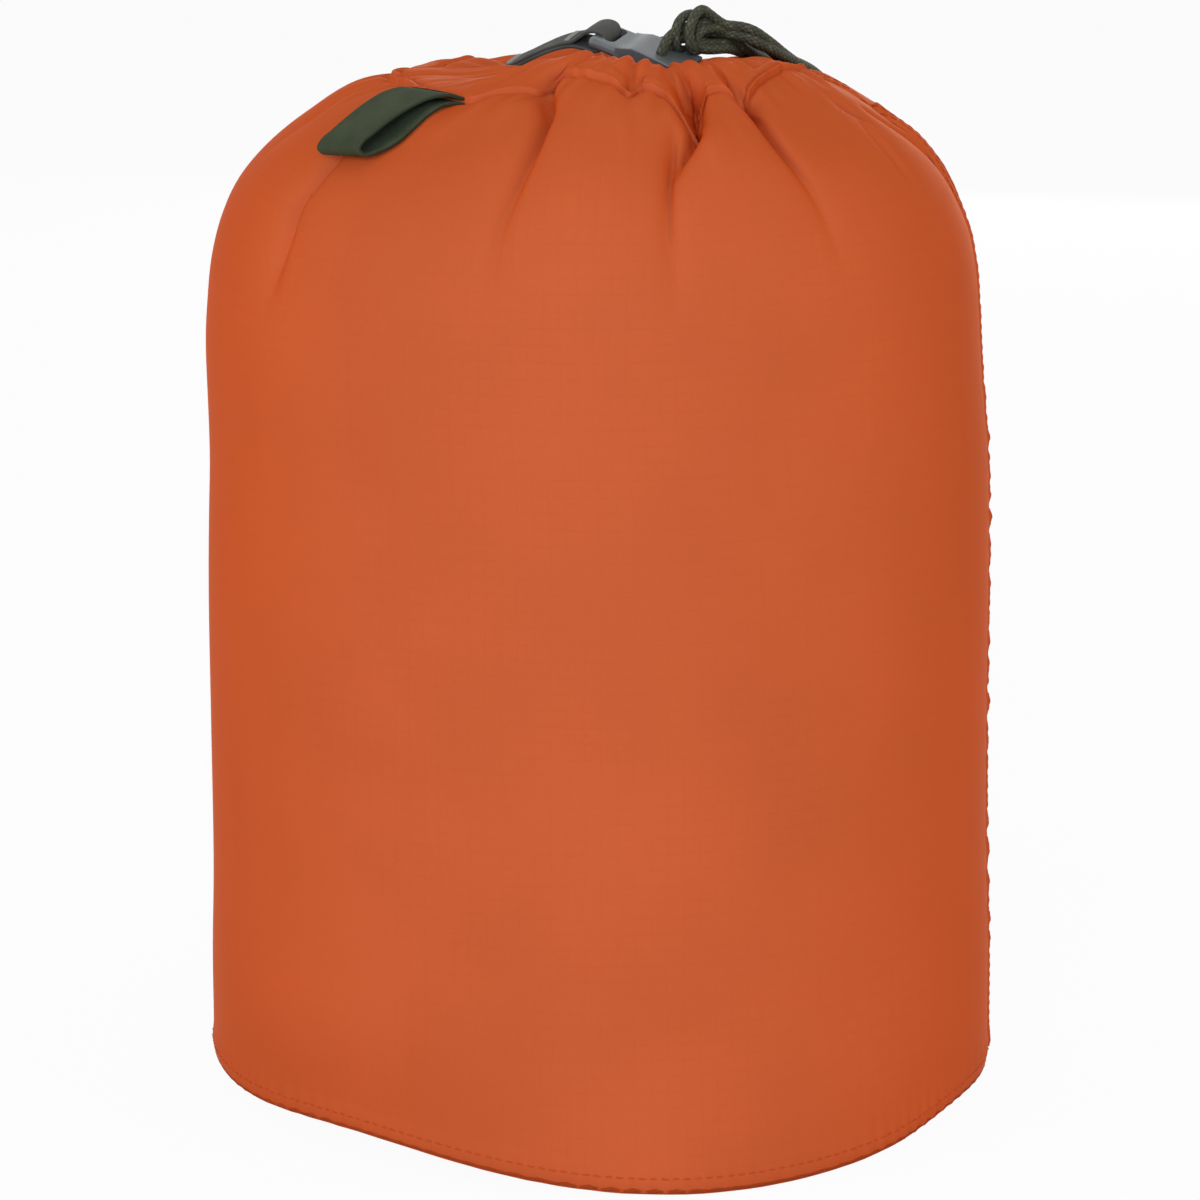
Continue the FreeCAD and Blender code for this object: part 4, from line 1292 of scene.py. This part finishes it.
def block(name, low, high, width, thickness, round_by=0.0, steps=4):
    """Box along the lock with all its edges rounded."""
    bpy.ops.object.select_all(action="DESELECT")
    bpy.ops.mesh.primitive_cube_add(size=1.0, location=((low + high) / 2, 0, 0))
    piece = bpy.context.object
    piece.name = name
    piece.scale = (high - low, width, thickness)
    bpy.ops.object.transform_apply(location=True, rotation=False, scale=True)
    if round_by:
        apply_modifier(piece, "BEVEL", width=round_by, segments=steps, limit_method="ANGLE")
    return piece


def pin(name, radius, x, y, depth):
    """Cylinder that stands upright in the lock."""
    bpy.ops.object.select_all(action="DESELECT")
    bpy.ops.mesh.primitive_cylinder_add(vertices=32, radius=radius, depth=depth, location=(x, y, 0))
    piece = bpy.context.object
    piece.name = name
    bpy.ops.object.transform_apply(location=True, rotation=True, scale=True)
    return piece


def combine(piece, other, operation):
    apply_modifier(piece, "BOOLEAN", operation=operation, object=other, solver="EXACT")
    bpy.data.objects.remove(other)


def housing(name):
    """Block over the pocket: it rises out of the tongue and thins again towards the plunger's end."""
    piece = block(name, HOUSING_START, HOUSING_END, LOCK_WIDTH, HOUSING_THICKNESS)
    only(piece)
    bpy.ops.object.mode_set(mode="EDIT")
    bpy.ops.mesh.select_all(action="SELECT")
    bpy.ops.mesh.subdivide(number_cuts=12)
    bpy.ops.object.mode_set(mode="OBJECT")
    for place in (vertex.co for vertex in piece.data.vertices):
        if place.z > 0:
            rising = float(smoothstep(HOUSING_START, 14.0, place.x))
            falling = float(smoothstep(13.0, HOUSING_END, place.x))
            top = ROOT_HEIGHT + WEDGE_RISE * rising - WEDGE_FALL * falling
            place.z *= top / (HOUSING_THICKNESS / 2)
    apply_modifier(piece, "BEVEL", width=1.1, segments=4, limit_method="ANGLE", angle_limit=math.radians(50))
    return piece


def lock_body():
    """Housing and tongue in one, with the tether's slot, the plunger's pocket and the two cord holes."""
    body = housing("cord_lock_shell")
    tongue = block("tongue", -1.9, 13.0, LOCK_WIDTH, 4.0, round_by=1.9, steps=6)
    combine(body, tongue, "UNION")
    slot = block("slot", SLOT_START, SLOT_END, SLOT_WIDTH, SLOT_CUT)
    for y in (-SLOT_WIDTH / 2, SLOT_WIDTH / 2):
        combine(slot, pin("slot_end", SLOT_RADIUS, SLOT_START + SLOT_RADIUS, y, SLOT_CUT), "UNION")
    combine(body, slot, "DIFFERENCE")
    combine(body, block("pocket", 10.0, 33.0, 12.6, 4.0, round_by=0.3, steps=2), "DIFFERENCE")
    for y in (-CORD_HOLE_Y, CORD_HOLE_Y):
        combine(body, pin("hole", CORD_HOLE_RADIUS, CORD_HOLE_X, y, HOLE_CUT), "DIFFERENCE")
    return body


def plunger():
    """Sliding bar with a window for each cord; its outer end is the push pad."""
    slider = block("cord_lock_slider", 16.5, 35.0, 12.2, 3.6, round_by=0.6, steps=3)
    for y in (-CORD_HOLE_Y, CORD_HOLE_Y):
        window = block("window", 19.3, 26.7, 2 * CORD_HOLE_RADIUS, WINDOW_CUT)
        window.data.transform(Matrix.Translation((0, y, 0)))
        combine(slider, window, "DIFFERENCE")
    return slider


def seat_in_lock(piece):
    """Scale a piece made in millimetres to metres and put it in the lock's place."""
    only(piece)
    place = Matrix.Translation(LOCK_ORIGIN * MM) @ lock_turn().to_4x4() @ Matrix.Scale(MM, 4)
    piece.data.transform(place)
    bpy.ops.object.shade_smooth_by_angle(angle=math.radians(35))
    return piece


class STUFFSACK_OT_cord_lock(bpy.types.Operator):
    """Cord lock: slotted tongue, pocketed housing, sliding plunger and its spring"""

    bl_idname = "stuff_sack.cord_lock"
    bl_label = "Cord lock"

    def execute(self, context):
        hand_over(seat_in_lock(lock_body()), "lock_plastic", "cord_lock", "cord_lock_body")
        hand_over(seat_in_lock(plunger()), "plunger_plastic", "lock_plunger", "cord_lock_plunger")
        wear(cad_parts["cord_lock_spring"].data, "spring_steel")
        return {"FINISHED"}


# ---- Panel ------------------------------------------------------------------------------------

PIECE_OPERATORS = (STUFFSACK_OT_drawcord, STUFFSACK_OT_cloth, STUFFSACK_OT_base, STUFFSACK_OT_side_seam,
                   STUFFSACK_OT_channel_stitches, STUFFSACK_OT_tether, STUFFSACK_OT_grab_loop,
                   STUFFSACK_OT_cord_lock)


class STUFFSACK_PT_panel(bpy.types.Panel):
    """Sizes, colours and the steps of the build"""

    bl_idname = "STUFFSACK_PT_panel"
    bl_label = "Stuff sack"
    bl_space_type = "VIEW_3D"
    bl_region_type = "UI"
    bl_category = "Stuff sack"

    def draw(self, context):
        for group in (sizes(), colours()):
            box = self.layout.box()
            for name in group.bl_rna.properties.keys():
                if name not in ("rna_type", "name"):
                    box.prop(group, name)
        for operator in (STUFFSACK_OT_stage,) + PIECE_OPERATORS:
            self.layout.operator(operator.bl_idname)


CLASSES = (StuffSackSizes, StuffSackColours, STUFFSACK_OT_stage) + PIECE_OPERATORS + (STUFFSACK_PT_panel,)


def register():
    for item in CLASSES:
        bpy.utils.register_class(item)
    bpy.types.Scene.stuff_sack_sizes = PointerProperty(type=StuffSackSizes)
    bpy.types.Scene.stuff_sack_colours = PointerProperty(type=StuffSackColours)


def unregister():
    del bpy.types.Scene.stuff_sack_colours
    del bpy.types.Scene.stuff_sack_sizes
    for item in reversed(CLASSES):
        bpy.utils.unregister_class(item)


def main():
    register()
    bpy.ops.stuff_sack.stage()
    bpy.ops.stuff_sack.drawcord()
    bpy.ops.stuff_sack.cloth()
    bpy.ops.stuff_sack.base()
    bpy.ops.stuff_sack.side_seam()
    bpy.ops.stuff_sack.channel_stitches()
    bpy.ops.stuff_sack.tether()
    bpy.ops.stuff_sack.grab_loop()
    bpy.ops.stuff_sack.cord_lock()
    bpy.context.view_layer.update()


if __name__ == "__main__":
    main()
